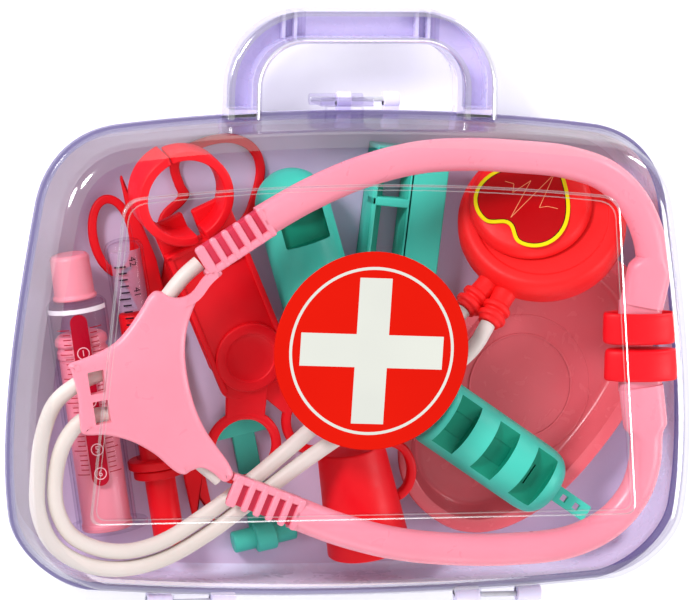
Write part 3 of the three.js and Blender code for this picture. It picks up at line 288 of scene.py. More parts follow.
def softened(points, radius, closed=True, steps=4):
    """The line with each corner rounded"""
    points = [Vector(p) for p in points]
    count = len(points)
    line = []
    for i, p in enumerate(points):
        before = points[i - 1] - p
        after = points[(i + 1) % count] - p
        reach = min(radius, 0.48 * before.length, 0.48 * after.length)
        at_end = not closed and i in (0, count - 1)
        if at_end or reach < 1e-4 or before.angle(after, 0) > STRAIGHT:
            line.append(tuple(p))
            continue
        corner = [p + before.normalized() * reach, p, p + after.normalized() * reach]
        line.append(tuple(corner[0]))
        line.extend(bezier(corner, steps))
    return line


def area(points):
    return sum(a[0] * b[1] - b[0] * a[1] for a, b in zip(points, [*points[1:], points[0]])) / 2


def wound(points, left):
    """The outline, running to the left for an outside and to the right for a hole"""
    return list(points) if (area(points) > 0) == left else list(points)[::-1]


def drawn_in(points, inset):
    """The outline moved by inset towards its left"""
    if inset == 0:
        return list(points)
    line = []
    for i, p in enumerate(points):
        before = Vector(p) - Vector(points[i - 1])
        after = Vector(points[(i + 1) % len(points)]) - Vector(p)
        if before.length < TINY:
            before = after
        if after.length < TINY:
            after = before
        before.normalize()
        after.normalize()
        across = Vector((-before.y, before.x))
        normal = Vector((-before.y - after.y, before.x + after.x))
        if normal.length < TINY:
            normal = across.copy()
        normal.normalize()
        share = max(normal.dot(across), 0.5)
        line.append((p[0] + normal.x * inset / share, p[1] + normal.y * inset / share))
    return line


def circle(x, y, radius, steps=48, radius_y=None):
    radius_y = radius if radius_y is None else radius_y
    angles = [2 * math.pi * k / steps for k in range(steps)]
    return [(x + radius * math.cos(a), y + radius_y * math.sin(a)) for a in angles]


def box_outline(x0, x1, y0, y1):
    return [(x0, y0), (x1, y0), (x1, y1), (x0, y1)]


def quarter(steps=7):
    return [math.pi / 2 * k / steps for k in range(steps + 1)]


ROUND_STEPS = 3
CREASE = 40
FINE_CREASE = 38
TURNED_CREASE = 45
LABEL_CREASE = 60


class Skin:
    """A mesh under construction, in millimetres, with faces of several materials"""

    def __init__(self):
        self.bm = bmesh.new()

    def ring(self, points):
        return [self.bm.verts.new(p) for p in points]

    def face(self, corners, slot):
        if len(set(corners)) < 3:
            return
        made = self.bm.faces.get(corners) or self.bm.faces.new(corners)
        made.material_index = slot

    def bridge(self, first, second, slot=0, closed=True):
        count = len(first)
        for i in range(count if closed else count - 1):
            j = (i + 1) % count
            self.face((first[i], first[j], second[j], second[i]), slot)

    def skin(self, rings, capped=(True, True), slot=0):
        made = [self.ring(points) for points in rings]
        for first, second in zip(made, made[1:]):
            self.bridge(first, second, slot)
        if capped[0]:
            self.face(tuple(made[0][::-1]), slot)
        if capped[1]:
            self.face(tuple(made[-1]), slot)

    def walls(self, outline_at, levels, slot=0, capped=(False, False)):
        """Sides through the outline at each (inset, height)"""
        self.skin([[(x, y, z) for x, y in outline_at(i)] for i, z in levels], capped, slot)

    def turned(self, profile, place=Matrix(), steps=56, slot=0, closed=False, edge=0, edge_steps=4):
        """Surface turned about local Y from (radius, height), the profile's corners rounded"""
        if edge:
            profile = softened(profile, edge, closed, edge_steps)
        made = []
        for radius, height in profile:
            around = [(0, 0)] if radius < TINY else circle(0, 0, radius, steps)
            made.append(self.ring([place @ Vector((x, height, z)) for x, z in around]))
        for first, second in list(zip(made, made[1:])) + ([(made[-1], made[0])] if closed else []):
            for k in range(steps):
                j = (k + 1) % steps
                corners = [ring[i % len(ring)] for ring, i in (
                    (first, k), (first, j), (second, j), (second, k),
                )]
                self.face(tuple(dict.fromkeys(corners)), slot)

    def filled(self, outlines, z, slot=0, place=Matrix()):
        """Flat face with holes"""
        edges = []
        for outline in outlines:
            corners = self.ring([place @ Vector((x, y, z)) for x, y in outline])
            for a, b in zip(corners, corners[1:] + corners[:1]):
                edges.append(self.bm.edges.new((a, b)))
        made = bmesh.ops.triangle_fill(self.bm, use_beauty=True, edges=edges)
        for item in made["geom"]:
            if isinstance(item, bmesh.types.BMFace):
                item.material_index = slot

    def plate(self, outlines, from_z, to_z, edge=0.5, place=Matrix(), slot=0):
        """Upright solid over an outline with holes, its upper and lower edges rounded"""
        edge = min(edge, (to_z - from_z) * 0.45)
        outlines = [wound(o, i == 0) for i, o in enumerate(outlines)]
        levels = [
            (edge * (1 - math.sin(a)), from_z + edge * (1 - math.cos(a)))
            for a in quarter(ROUND_STEPS)
        ]
        levels += [(inset, from_z + to_z - z) for inset, z in reversed(levels)]
        for outline in outlines:
            rings = [
                [place @ Vector((x, y, z)) for x, y in drawn_in(outline, inset)]
                for inset, z in levels
            ]
            self.skin(rings, (False, False), slot)
        for z in (from_z, to_z):
            self.filled([drawn_in(o, edge) for o in outlines], z, slot, place)

    def block(self, xs, ys, zs, corner=0.6, edge=0.5, place=Matrix(), slot=0):
        """Upright box, its corners rounded in plan"""
        outline = box_outline(*xs, *ys)
        self.plate([softened(outline, corner) if corner else outline], *zs, edge, place, slot)

    def swept(self, points, sections):
        """Solid along a line in plan; each section is a list of (across, z)"""
        rings = []
        for i, p in enumerate(points):
            before = Vector(points[max(i - 1, 0)][:2])
            after = Vector(points[min(i + 1, len(points) - 1)][:2])
            along = (after - before).normalized()
            rings.append([(p[0] + along.y * w, p[1] - along.x * w, z) for w, z in sections[i]])
        self.skin(rings)

    def mesh(self, name, place):
        bmesh.ops.remove_doubles(self.bm, verts=self.bm.verts, dist=0.004)
        bmesh.ops.recalc_face_normals(self.bm, faces=self.bm.faces)
        mesh = bpy.data.meshes.new(name)
        self.bm.to_mesh(mesh)
        self.bm.free()
        mesh.transform(Matrix.Scale(MM, 4) @ place)
        return mesh

    def done(self, name, materials, replaced=None, place=Matrix(), body="case", crease=CREASE):
        """The finished piece, which rides on its body and hides its CAD node"""
        materials = materials if isinstance(materials, list) else [materials]
        mesh = self.mesh(name, place)
        for material in materials:
            mesh.materials.append(material)
        smoothed(mesh, crease)
        made = linked(name, mesh)
        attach(made, body)
        if replaced:
            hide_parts(replaced)
        return made


def smoothed(mesh, crease):
    mesh.polygons.foreach_set("use_smooth", [True] * len(mesh.polygons))
    mesh.set_sharp_from_angle(angle=math.radians(crease))


def turned_place(place, degrees):
    return Matrix.Translation(Vector(place)) @ turned_by(degrees)


def along_place(start, end, z):
    """Place whose local Y runs from start to end, and the length between them"""
    turn = math.atan2(start[0] - end[0], end[1] - start[1])
    length = (Vector(end) - Vector(start)).length
    return Matrix.Translation(Vector((*start, z))) @ Matrix.Rotation(turn, 4, "Z"), length


def rounded_section(width, top, depth, edge_top, edge_bottom, steps=4):
    """Rounded bar section as (across, z), counter-clockwise"""
    half = width / 2
    low = top - depth
    section = []
    for x, z, radius, start in (
        (half - edge_bottom, low + edge_bottom, edge_bottom, -90),
        (half - edge_top, top - edge_top, edge_top, 0),
        (edge_top - half, top - edge_top, edge_top, 90),
        (edge_bottom - half, low + edge_bottom, edge_bottom, 180),
    ):
        for k in range(steps + 1):
            angle = math.radians(start + 90 * k / steps)
            section.append((x + radius * math.cos(angle), z + radius * math.sin(angle)))
    return section


# Stethoscope tubes
TUBE_RADIUS = 3
TUBE_STEPS = 6
TUBES = {
    "upper": [
        (-64, 37.8, 45.4), (-70, 32.4, 45.4), (-78, 22, 45.4), (-87, 8, 45.4), (-97, -1.4, 45.4),
        (-108, -6.5, 45), (-116.5, -14.4, 42), (-120.6, -27, 39.6), (-122, -42, 38.6),
        (-121.4, -56, 38), (-115.6, -68.4, 37.4), (-104, -76.2, 36.6), (-90, -78.6, 36.2),
        (-74, -75.4, 36.4), (-56, -65.4, 37), (-38, -51.4, 38.6), (-19, -37, 40.5),
        (1, -23.4, 41.4), (18, -13.4, 41.9), (28, -7.4, 42.8), (36, -1.9, 43.5),
        (41.2, 2.8, 43.9), (44.8, 6.9, 43.1), (47, 9.9, 41.7), (49, 12.7, 40.4),
    ],
    "lower": [
        (-54.4, -43.4, 45.4), (-61, -38, 45.4), (-72, -29, 45.4), (-84, -21.6, 45.4),
        (-96, -18.6, 45.4), (-106, -20.4, 44.6), (-112, -28, 41.6), (-115, -40, 38.6),
        (-114.6, -54, 37.6), (-109.2, -64.6, 37.2), (-100, -70, 37), (-88, -71.8, 37),
        (-74, -68.4, 37), (-58, -58.6, 37.6), (-42, -46.6, 38.6), (-26, -33, 39.5),
        (-9, -18.6, 39), (8, -6.6, 38.6), (21, 1.6, 38), (30.8, 7.9, 37.5), (35.2, 11.6, 36.6),
        (38.4, 14.9, 35.5), (41, 17.4, 34.6),
    ],
}


def add_tube(name, points):
    line = smooth_line(points, TUBE_STEPS)
    data = bpy.data.curves.new(f"tube_{name}", "CURVE")
    data.dimensions = "3D"
    spline = data.splines.new("POLY")
    spline.points.add(len(line) - 1)
    for point, place in zip(spline.points, line):
        point.co = (*(place * MM), 1)
    spline.use_smooth = True
    data.bevel_depth = TUBE_RADIUS * MM
    data.bevel_resolution = 6
    data.use_fill_caps = True
    data.materials.append(cream)
    tube = linked(f"tube_{name}", data)
    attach(tube, "case")
    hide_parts(f"stethoscope_tube_{name}")


for tube_name, tube_points in TUBES.items():
    add_tube(tube_name, tube_points)

# Case
HALF_WIDTH = 131.75
HALF_HEIGHT = 92.4
OUTLINE_STEPS = 20
OUTLINE = [
    [(0, 1), (0.38, 1), (0.698, 0.944)],
    [(0.698, 0.944), (0.827, 0.921), (0.912, 0.79), (0.93, 0.606)],
    [(0.93, 0.606), (0.971, 0.249), (1.028, -0.292), (0.989, -0.649)],
    [(0.989, -0.649), (0.974, -0.785), (0.865, -0.926), (0.759, -0.956)],
    [(0.759, -0.956), (0.379, -1), (0, -1)],
]
RIM_Z = 26
LID_Z = 26.3
BEAD_HEIGHT = 2.2
BEAD_PROUD = 1.2
SHELL_WALL = 2
BACK_ROUND = 6
BACK_INSET = 2.5
BACK_GROOVE = ((17.5, 0), (17.1, 0.5), (16.1, 0.5), (15.7, 0))
LID_WALL = 1.8
LID_FACE_Z = 54.8
LID_INSET = 4.2
LID_ROUND = 8
FLAT_MARGIN = 0.6
LID_STOP = ((-14, 0), (88.5, 94.65), (31, 36))
PANEL_RISE = 1.2
PANEL_EDGE = 0.5
PANEL_LINE = (1.5, 1.9)
PANEL_TOP_HALF = 95.2
PANEL_BOTTOM_HALF = 104.8
PANEL_TOP_Y = 62.6
PANEL_BOTTOM_Y = -58.1
PANEL_ARCH = 4.6
PANEL_TOP_ROUND = 8
PANEL_BOTTOM_ROUND = 4
STICKER_Y = 5.6
STICKER_RADIUS = 37.3
STICKER_TOP = 56.4
STICKER_THICK = 0.4
STICKER_EDGE = 0.15
HANDLE_HALF = 52.2
HANDLE_INNER = 38.7
HANDLE_TOP = 131.1
HANDLE_INNER_TOP = 118
HANDLE_ROUND = 30
HANDLE_INNER_ROUND = 16.5
HANDLE_REAR_ROOT = 89.6
HANDLE_FRONT_ROOT = 89.8
HANDLE_REAR_Z = 16
HANDLE_FRONT_Z = 36.3
HANDLE_WALL = 1.8
HANDLE_HOLLOW_Y = 93.4
HANDLE_EDGE = 2.6
HANDLE_RIBS = (-28, -23.5, 23.5, 28)
HANDLE_RIB = 1.4
REAR_RIB_HEIGHT = 4


def case_outline():
    right = [(0, HALF_HEIGHT)]
    for segment in OUTLINE:
        right += bezier([(x * HALF_WIDTH, y * HALF_HEIGHT) for x, y in segment], OUTLINE_STEPS)
    return wound(right + [(-x, y) for x, y in right[1:-1]][::-1], True)


CASE_OUTLINE = case_outline()


def case_rings(skin, levels):
    return [skin.ring([(x, y, z) for x, y in drawn_in(CASE_OUTLINE, i)]) for i, z in levels]


def handle_arch(half, top, rounding, root_y):
    """Right half of the handle's outer or inner line"""
    return [(half, root_y)] + [
        (half - rounding + rounding * math.cos(a), top - rounding + rounding * math.sin(a))
        for a in quarter(12)
    ]


def handle_outline(inset, root_y):
    outer = handle_arch(HANDLE_HALF - inset, HANDLE_TOP - inset, HANDLE_ROUND - inset, root_y)
    inner = handle_arch(
        HANDLE_INNER + inset, HANDLE_INNER_TOP + inset, HANDLE_INNER_ROUND + inset, root_y
    )
    outer += [(-x, y) for x, y in outer[::-1]]
    return wound(outer + [(-x, y) for x, y in inner] + inner[::-1], True)


def handle_half(skin, root_y, seam_z, face_z, slot=0, wall_slot=0, rib_height=None):
    """Channel-shaped half of the handle, open at the seam"""
    side = 1 if face_z > seam_z else -1
    levels = [(0, seam_z)] + [
        (HANDLE_EDGE * (1 - math.cos(a)), face_z - side * HANDLE_EDGE * (1 - math.sin(a)))
        for a in quarter(4)
    ]
    skin.walls(lambda inset: handle_outline(inset, root_y), levels, wall_slot)
    skin.filled([handle_outline(HANDLE_EDGE, root_y)], face_z, slot)
    hollow = handle_outline(HANDLE_WALL, HANDLE_HOLLOW_Y)
    floor_z = face_z - side * HANDLE_WALL
    skin.walls(lambda inset: hollow, ((0, seam_z), (0, floor_z)), wall_slot)
    skin.filled([hollow], floor_z, slot)
    skin.filled([handle_outline(0, root_y), hollow], seam_z)
    rib_end = floor_z - side * rib_height if rib_height else seam_z
    rib_zs = (min(rib_end, floor_z) + 0.1, max(rib_end, floor_z) - 0.1)
    rib_ys = (HANDLE_INNER_TOP + HANDLE_WALL / 2, HANDLE_TOP - HANDLE_WALL / 2)
    for x in HANDLE_RIBS:
        skin.block((x - HANDLE_RIB / 2, x + HANDLE_RIB / 2), rib_ys, rib_zs, 0, 0.2)


HINGE_Y = -93.6
HINGE_Z = 26.15
HINGE_SPREAD = 60
HINGE_WEB = (HINGE_Y - 0.6, HINGE_Y + 3.4)
KNUCKLE_RADIUS = 3.1
LID_KNUCKLE = 14.2
REAR_KNUCKLE = 9.5
KNUCKLE_GAP = 0.4
PIN_RADIUS = 1
LATCH_Y = 96
LATCH_Z = 20.5
LATCH_EARS = ((-7, -1.5), (11.2, 17.2))
LATCH_EAR_RADIUS = 3
LATCH_WEB = 6.5
LATCH_WEB_HALF = 1.6
LATCH_PIN_RADIUS = 0.9


def rod_x(skin, radius, ends, y, z, edge=0.5):
    profile = [(0, ends[0]), (radius, ends[0]), (radius, ends[1]), (0, ends[1])]
    skin.turned(profile, Matrix.Translation((0, y, z)) @ ACROSS, 28, edge=edge)


def knuckle_spans(side):
    middle = side * HINGE_SPREAD
    out = LID_KNUCKLE / 2 + KNUCKLE_GAP
    return (
        (middle - LID_KNUCKLE / 2, middle + LID_KNUCKLE / 2),
        [(middle - out - REAR_KNUCKLE, middle - out), (middle + out, middle + out + REAR_KNUCKLE)],
    )


def add_rear_shell():
    skin = Skin()
    levels = list(BACK_GROOVE)
    levels += [
        (BACK_INSET + BACK_ROUND * (1 - math.sin(a)), BACK_ROUND * (1 - math.cos(a)))
        for a in quarter()
    ]
    bead_z = RIM_Z - BEAD_HEIGHT
    levels += [
        (BEAD_PROUD, bead_z - 0.1), (0.5, bead_z), (0.12, bead_z + 0.12), (0, bead_z + 0.5),
        (0, RIM_Z - 0.5), (0.15, RIM_Z - 0.12), (0.5, RIM_Z),
        (BEAD_PROUD + SHELL_WALL, RIM_Z),
    ]
    inner_round = BACK_ROUND - SHELL_WALL
    levels += [
        (
            BACK_INSET + SHELL_WALL + inner_round * (1 - math.sin(a)),
            SHELL_WALL + inner_round * (1 - math.cos(a)),
        )
        for a in reversed(quarter())
    ]
    rings = case_rings(skin, levels)
    for i, (first, second) in enumerate(zip(rings, rings[1:])):
        # Faces at the rim's top take the painted shade of the joint
        seam = min(levels[i][1], levels[i + 1][1]) > RIM_Z - 0.6
        skin.bridge(first, second, 3 if seam else 2 if i == len(levels) - 2 else 0)
    skin.face(tuple(rings[0][::-1]), 0)
    # The inner floor cap and the last rounding band before it take the painted shade
    skin.face(tuple(rings[-1]), 2)
    handle_half(skin, HANDLE_REAR_ROOT, RIM_Z, HANDLE_REAR_Z, 1, 0, REAR_RIB_HEIGHT)
    for ends in knuckle_spans(-1)[1] + knuckle_spans(1)[1]:
        rod_x(skin, KNUCKLE_RADIUS, ends, HINGE_Y, HINGE_Z)
        skin.block(ends, HINGE_WEB, (HINGE_Z - KNUCKLE_RADIUS, RIM_Z), edge=0.3)
    for ends in LATCH_EARS:
        rod_x(skin, LATCH_EAR_RADIUS, ends, LATCH_Y, LATCH_Z)
        web_zs = (LATCH_Z - LATCH_WEB_HALF, LATCH_Z + LATCH_WEB_HALF)
        skin.block(ends, (LATCH_Y - LATCH_WEB, LATCH_Y), web_zs, edge=0.3)
    materials = [lavender, lavender_handle, lavender_floor_painted_shade, lavender_seam_painted_shade]
    skin.done("case_rear", materials, "rear_shell", crease=FINE_CREASE)


def panel_outline(inset):
    bottom = PANEL_BOTTOM_Y + inset
    wide = PANEL_BOTTOM_HALF - inset
    narrow = PANEL_TOP_HALF - inset
    top = PANEL_TOP_Y - inset
    low = PANEL_BOTTOM_ROUND
    high = PANEL_TOP_ROUND
    lift = PANEL_ARCH / high
    right = [(wide - low, bottom)]
    right += bezier([(wide - low, bottom), (wide, bottom), (wide, bottom + low)], 8)
    right.append((narrow, top - high))
    right += bezier([(narrow, top - high), (narrow, top), (narrow - high, top + lift)], 8)
    arch = [(narrow - high, top + lift), (0, top + 2 * PANEL_ARCH), (high - narrow, top + lift)]
    left = [(-x, y) for x, y in right[::-1]]
    return wound(right + bezier(arch, 24)[:-1] + left, True)


def add_lid():
    skin = Skin()
    bead_z = LID_Z + BEAD_HEIGHT
    outer = [
        (0.5, LID_Z), (0.12, LID_Z + 0.15), (0, LID_Z + 0.5), (0, bead_z - 0.5),
        (0.15, bead_z - 0.12), (0.5, bead_z), (BEAD_PROUD, bead_z + 0.1),
    ]
    inner = [(BEAD_PROUD + LID_WALL, LID_Z)]
    for line, wall in ((outer, 0), (inner, LID_WALL)):
        rounding = LID_ROUND - wall
        line += [
            (
                LID_INSET + wall + rounding * (1 - math.cos(a)),
                LID_FACE_Z - LID_ROUND + rounding * math.sin(a),
            )
            for a in quarter(9)
        ]
    flat_inset = LID_INSET + LID_ROUND + FLAT_MARGIN
    inner_z = LID_FACE_Z - LID_WALL
    levels = [(flat_inset, LID_FACE_Z)] + outer[::-1] + inner + [(flat_inset, inner_z)]
    rings = case_rings(skin, levels)
    for i, (first, second) in enumerate(zip(rings, rings[1:])):
        skin.bridge(first, second, 2 if 2 <= i < len(outer) - 1 else 0)
    panel_z = LID_FACE_Z + PANEL_RISE
    flat = drawn_in(CASE_OUTLINE, flat_inset)
    skin.filled([flat, panel_outline(-0.4)], LID_FACE_Z)
    rim = [(-0.4, LID_FACE_Z), (-0.1, LID_FACE_Z + 0.15), (0, LID_FACE_Z + 0.5)]
    rim += [(0, panel_z - 0.5), (0.15, panel_z - 0.15), (PANEL_EDGE, panel_z)]
    skin.walls(panel_outline, rim, 1)
    line_out, line_in = [panel_outline(inset) for inset in PANEL_LINE]
    skin.filled([panel_outline(PANEL_EDGE), line_out], panel_z)
    skin.filled([line_out, line_in], panel_z, 1)
    skin.filled([line_in], panel_z)
    skin.filled([flat, panel_outline(LID_WALL)], inner_z)
    skin.walls(panel_outline, [(LID_WALL, inner_z), (LID_WALL, inner_z + PANEL_RISE)])
    skin.filled([panel_outline(LID_WALL)], inner_z + PANEL_RISE)
    handle_half(skin, HANDLE_FRONT_ROOT, LID_Z, HANDLE_FRONT_Z, 0, 1)
    for side in (-1, 1):
        ends = knuckle_spans(side)[0]
        rod_x(skin, KNUCKLE_RADIUS, ends, HINGE_Y, HINGE_Z)
        skin.block(ends, HINGE_WEB, (LID_Z, HINGE_Z + KNUCKLE_RADIUS), edge=0.3)
    skin.block(*LID_STOP, 0.8)
    skin.done("case_lid", [clear, clear_edge, clear_side], "front_lid", body="lid", crease=30)


CROSS_LONG = 27.4
CROSS_HALF = 6.2
CROSS_TURN = math.radians(-2.4)
RING_RADIUS = 31.6
RING_BAND = 1.1


def sticker_disc(inset):
    return circle(0, STICKER_Y, STICKER_RADIUS - inset, 96)


def add_sticker():
    skin = Skin()
    a = CROSS_LONG
    b = CROSS_HALF
    cosine = math.cos(CROSS_TURN)
    sine = math.sin(CROSS_TURN)
    cross = [
        (a, -b), (a, b), (b, b), (b, a), (-b, a), (-b, b),
        (-a, b), (-a, -b), (-b, -b), (-b, -a), (b, -a), (b, -b),
    ]
    cross = [(x * cosine - y * sine, STICKER_Y + x * sine + y * cosine) for x, y in cross]
    outer = circle(0, STICKER_Y, RING_RADIUS, 96)
    inner = circle(0, STICKER_Y, RING_RADIUS - RING_BAND, 96)
    skin.filled([sticker_disc(STICKER_EDGE), outer], STICKER_TOP)
    skin.filled([outer, inner], STICKER_TOP, 1)
    skin.filled([inner, cross], STICKER_TOP)
    skin.filled([cross], STICKER_TOP, 1)
    low = STICKER_TOP - STICKER_THICK
    edge = [(STICKER_EDGE, STICKER_TOP), (0, STICKER_TOP - STICKER_EDGE), (0, low)]
    skin.walls(sticker_disc, edge)
    skin.filled([sticker_disc(0)], low)
    skin.done(
        "sticker", [paper_red, paper_white], "lid_sticker", body="lid", crease=FINE_CREASE
    )


HASP_WALL = 1.8
HASP_PLATE = [
    (-17.4, 22.9), (-7.2, 22.9), (-7.2, 24), (-1.3, 24), (-1.3, 22.9), (3.2, 22.9), (3.2, 38.5),
    (-17.4, 38.5),
]
HASP_LIP = 3.4
HASP_KNUCKLES = ((-17.4, -7.4), (-1.1, 3.2))


def add_pins_and_latch():
    for side, name in ((-1, "left"), (1, "right")):
        spans = knuckle_spans(side)[1]
        skin = Skin()
        rod_x(skin, PIN_RADIUS, (spans[0][0], spans[1][1]), HINGE_Y, HINGE_Z, 0.3)
        skin.done(f"pin_{name}", steel, f"hinge_pin_{name}", crease=FINE_CREASE)
    skin = Skin()
    rod_x(skin, LATCH_PIN_RADIUS, (-17, 16.8), LATCH_Y, LATCH_Z, 0.3)
    skin.done("pin_latch", steel, "latch_pin", crease=FINE_CREASE)
    skin = Skin()
    inner = LATCH_Y - LATCH_PIN_RADIUS
    stand = Matrix(((1, 0, 0, 0), (0, 0, -1, inner + HASP_WALL), (0, 1, 0, 0), (0, 0, 0, 1)))
    skin.plate([softened(HASP_PLATE, 0.8)], 0, HASP_WALL, 0.4, stand)
    skin.block((-17.4, 3.2), (inner, inner + HASP_LIP), (36.9, 38.5), 0.8)
    for ends in HASP_KNUCKLES:
        rod_x(skin, 2.2, ends, LATCH_Y, LATCH_Z, 0.4)
    skin.done("hasp", clear_hasp, "latch_hasp", body="latch", crease=FINE_CREASE)


# Stethoscope headset
HEADSET_TOP = 52.4
ARM_WIDTH = 12.4
ARM_DEPTH = 8.6
YOKE_THICK = 3
YOKE_OUTLINE = [
    (-113.3, 0.7), (-107.7, 3.1), (-101.9, 5.4), (-96.2, 8.7), (-92.2, 12.8), (-89, 17.2),
    (-85.9, 22), (-83.6, 26), (-81.3, 27.9), (-78.9, 27.7), (-76, 25.9), (-71.2, 25.5),
    (-67.4, 27.3), (-63, 33), (-58.4, 36.5), (-56.4, 34.4), (-60.7, 31), (-64.9, 26),
    (-67.4, 20.7), (-69.1, 15), (-69.8, 8.9), (-69.7, 3), (-68.7, -3.9), (-67, -11),
    (-64.4, -18.3), (-61, -24.8), (-57, -30.4), (-52.4, -36.6), (-50.6, -41.4), (-53.6, -43.8),
    (-58, -40.4), (-62.6, -38.2), (-66.6, -39.3), (-68.9, -40.6), (-72.1, -39.7), (-80.7, -32.6),
    (-90, -27.6), (-99.3, -25.3), (-107.6, -24.8), (-108.6, -20.9), (-109.4, -12), (-111, -5.2),
    (-112.4, -1.2),
]
YOKE_WINDOWS = [
    [(-106.8, -1.8), (-100.8, -0.6), (-99.5, -9), (-105.3, -10.2)],
    [(-104.6, -12.8), (-99, -11.9), (-97.3, -20.3), (-103.1, -21.4)],
]
YOKE_LEVELS = (
    (0.9, -YOKE_THICK - 1.4), (0, -YOKE_THICK - 0.6), (0, -1.5), (0.25, -1.0), (0.9, -0.55),
    (2.4, -0.12), (3.2, 0),
)
ARMS = {
    "upper": [
        (-63, 38.9), (-41.1, 53), (-24, 62.6), (-4, 71.2), (18, 76.8), (38, 78), (58, 77),
        (76, 75), (91.6, 69.8), (102.6, 60), (108.8, 48), (111, 39),
    ],
    "lower": [
        (-50.2, -47), (-26.6, -56.2), (-8, -63.4), (14, -69.2), (38, -71.9), (60, -72.2),
        (82, -69.9), (97.6, -62.6), (107, -51.6), (110.6, -40), (111, -30),
    ],
}
TIP_PLACES = {"upper": (107.4, 17.6, 1), "lower": (108.4, -8.4, -1)}
TIP_Z = 45.4
TIP_RADII = (14.4, 6.6)
TIP_HEIGHT = 12
TIP_PROFILE = [
    (1.5, 0), (0.9, 0.15), (0.4, 0.6), (0.15, 1.4), (0, 3), (0, 9.5), (0, 11), (0.25, 11.7),
    (0.7, 12), (1.2, 11.9), (1.6, 11.4), (1.8, 10.6), (1.8, 3), (2.2, 2.2), (3, 2),
]
RIB_COUNT = 5
RAIL = 3
CORE_INSET = 1.2
ARM_EDGES = (5.2, 2.8)
PLUG_WIDTH = 16.4
COLLAR_STOPS = (
    (0.1, 13, 0), (0.17, 15.2, 0.1), (0.22, 16.4, 0.2), (0.3, 16.8, 0.4), (0.6, 17, 1),
    (1, 17.2, 1.7),
)


def add_comb(skin, start, end, outward):
    """Ribs over a sunk core in painted shade, with a rail along the inner side"""
    along = Vector(end) - Vector(start)
    length = along.length
    place = Matrix.Translation((*start, 0)) @ Matrix.Rotation(math.atan2(along.y, along.x), 4, "Z")
    half = ARM_WIDTH / 2
    low = HEADSET_TOP - ARM_DEPTH
    rail = sorted((-outward * half, outward * (RAIL - half)))
    core = sorted((outward * (RAIL - half - 0.3), outward * (half - CORE_INSET)))
    skin.block((-2, length + 2), rail, (low, HEADSET_TOP - 0.3), 1, 1, place)
    # The core takes the painted shade
    skin.block((0, length + 2), core, (low + 1, HEADSET_TOP - 2), 0.5, 0.4, place, 1)
    pitch = length / RIB_COUNT
    ribs = [(i * pitch, (i + 0.5) * pitch) for i in range(RIB_COUNT)]
    ribs[0] = (-1.2, 0.5 * pitch)
    ribs.append((length - 0.2, length + 2.4))
    for xs in ribs:
        skin.block(xs, (-half, half), (HEADSET_TOP - YOKE_THICK, HEADSET_TOP), 1.4, 0.9, place)


def add_headset():
    skin = Skin()
    outline = wound(flat_line(YOKE_OUTLINE, 4), True)
    windows = [wound(softened(w, 0.5), False) for w in YOKE_WINDOWS]
    levels = [(inset, HEADSET_TOP + z) for inset, z in YOKE_LEVELS]
    skin.walls(lambda inset: drawn_in(outline, inset), levels)
    for inset, z in (levels[-1], levels[0]):
        skin.filled([drawn_in(outline, inset)] + windows, z)
    for window in windows:
        skin.walls(lambda inset: window, (levels[0], levels[-1]))
    for name, outward in (("upper", 1), ("lower", -1)):
        places = ARMS[name]
        add_comb(skin, places[0], places[1], outward)
        arm = flat_line(places[1:], 6, False)
        sections = [rounded_section(ARM_WIDTH, HEADSET_TOP, ARM_DEPTH, *ARM_EDGES)] * len(arm)
        mouth_x, mouth_y, facing = TIP_PLACES[name]
        mouth_y += facing * 2.4
        from_x, from_y = places[-1]
        for share, width, drop in COLLAR_STOPS:
            arm.append((from_x + (mouth_x - from_x) * share, from_y + (mouth_y - from_y) * share))
            sections.append(
                rounded_section(width, HEADSET_TOP - drop, ARM_DEPTH - drop, 4, 2.4)
            )
        skin.swept(arm, sections)
        plug = [(mouth_x, mouth_y + facing * 2), (mouth_x, mouth_y - facing * 12)]
        skin.swept(plug, [rounded_section(PLUG_WIDTH, TIP_Z + 4.1, 8.2, 3, 3)] * 2)
    skin.done("headset", [pink, pink_painted_shade], "stethoscope_headset", crease=32)


def add_ear_tip(name):
    x, y, facing = TIP_PLACES[name]
    skin = Skin()
    rings = []
    for inset, height in TIP_PROFILE:
        rings.append([
            (x + a, y - facing * (TIP_HEIGHT - height), TIP_Z + b)
            for a, b in circle(0, 0, TIP_RADII[0] - inset, 64, TIP_RADII[1] - inset)
        ])
    skin.skin(rings)
    skin.done(f"ear_cup_{name}", red, f"ear_tip_{name}", crease=TURNED_CREASE)


# Chest piece
CHEST_PLACE = (73.5, 49.2, 25.6)
CHEST_LEAN = 37.5
CHEST_TOWARD = 114
CHEST_BODY = [
    (0, -7.5), (28, -7.5), (32, -4), (32, 3.2), (29.7, 7.5), (25.5, 7.5), (25, 7), (0, 7),
]
CHEST_FACE = [(0, 7.8), (23.4, 7.8), (23.2, 9.6), (21.6, 12.4), (17, 13.7), (0, 13.8)]
CAP_SHIFT = Matrix.Translation((-4.2, 4.2, 0))
NOZZLE_ANGLES = (227, 240.5)
NOZZLE_DROP = Matrix.Translation((0, 0, -2.5))
NOZZLE = [
    (0, 26), (4.9, 26), (4.6, 31), (4.2, 34), (4.2, 37.6), (5.6, 38), (5.6, 40), (4.2, 40.3),
    (4.2, 41.7), (5.6, 42), (5.6, 44), (4.3, 44.4), (4.3, 46), (0, 46),
]
HEART_SIZE = 18.5
HEART_TURN = 141
HEART_Z = 14.1
HEART_TOP = HEART_Z + 0.4
HEART_BANDS = (0.1, 1.4, 1.75)
HEART = [
    (0, -1), (0.55, -0.62), (1.02, -0.18), (1.02, 0.32), (1.02, 0.78), (0.66, 1), (0.42, 1),
    (0.24, 1), (0.14, 0.78), (0, 0.78),
]
HEART_TRACE = [
    (-0.62, -0.1), (-0.42, -0.02), (-0.3, 0.1), (-0.1, -0.7), (0.04, 0.62), (0.2, -0.3),
    (0.34, 0.14), (0.44, -0.04), (0.62, 0.02),
]
TRACE_WIDTH = 0.2


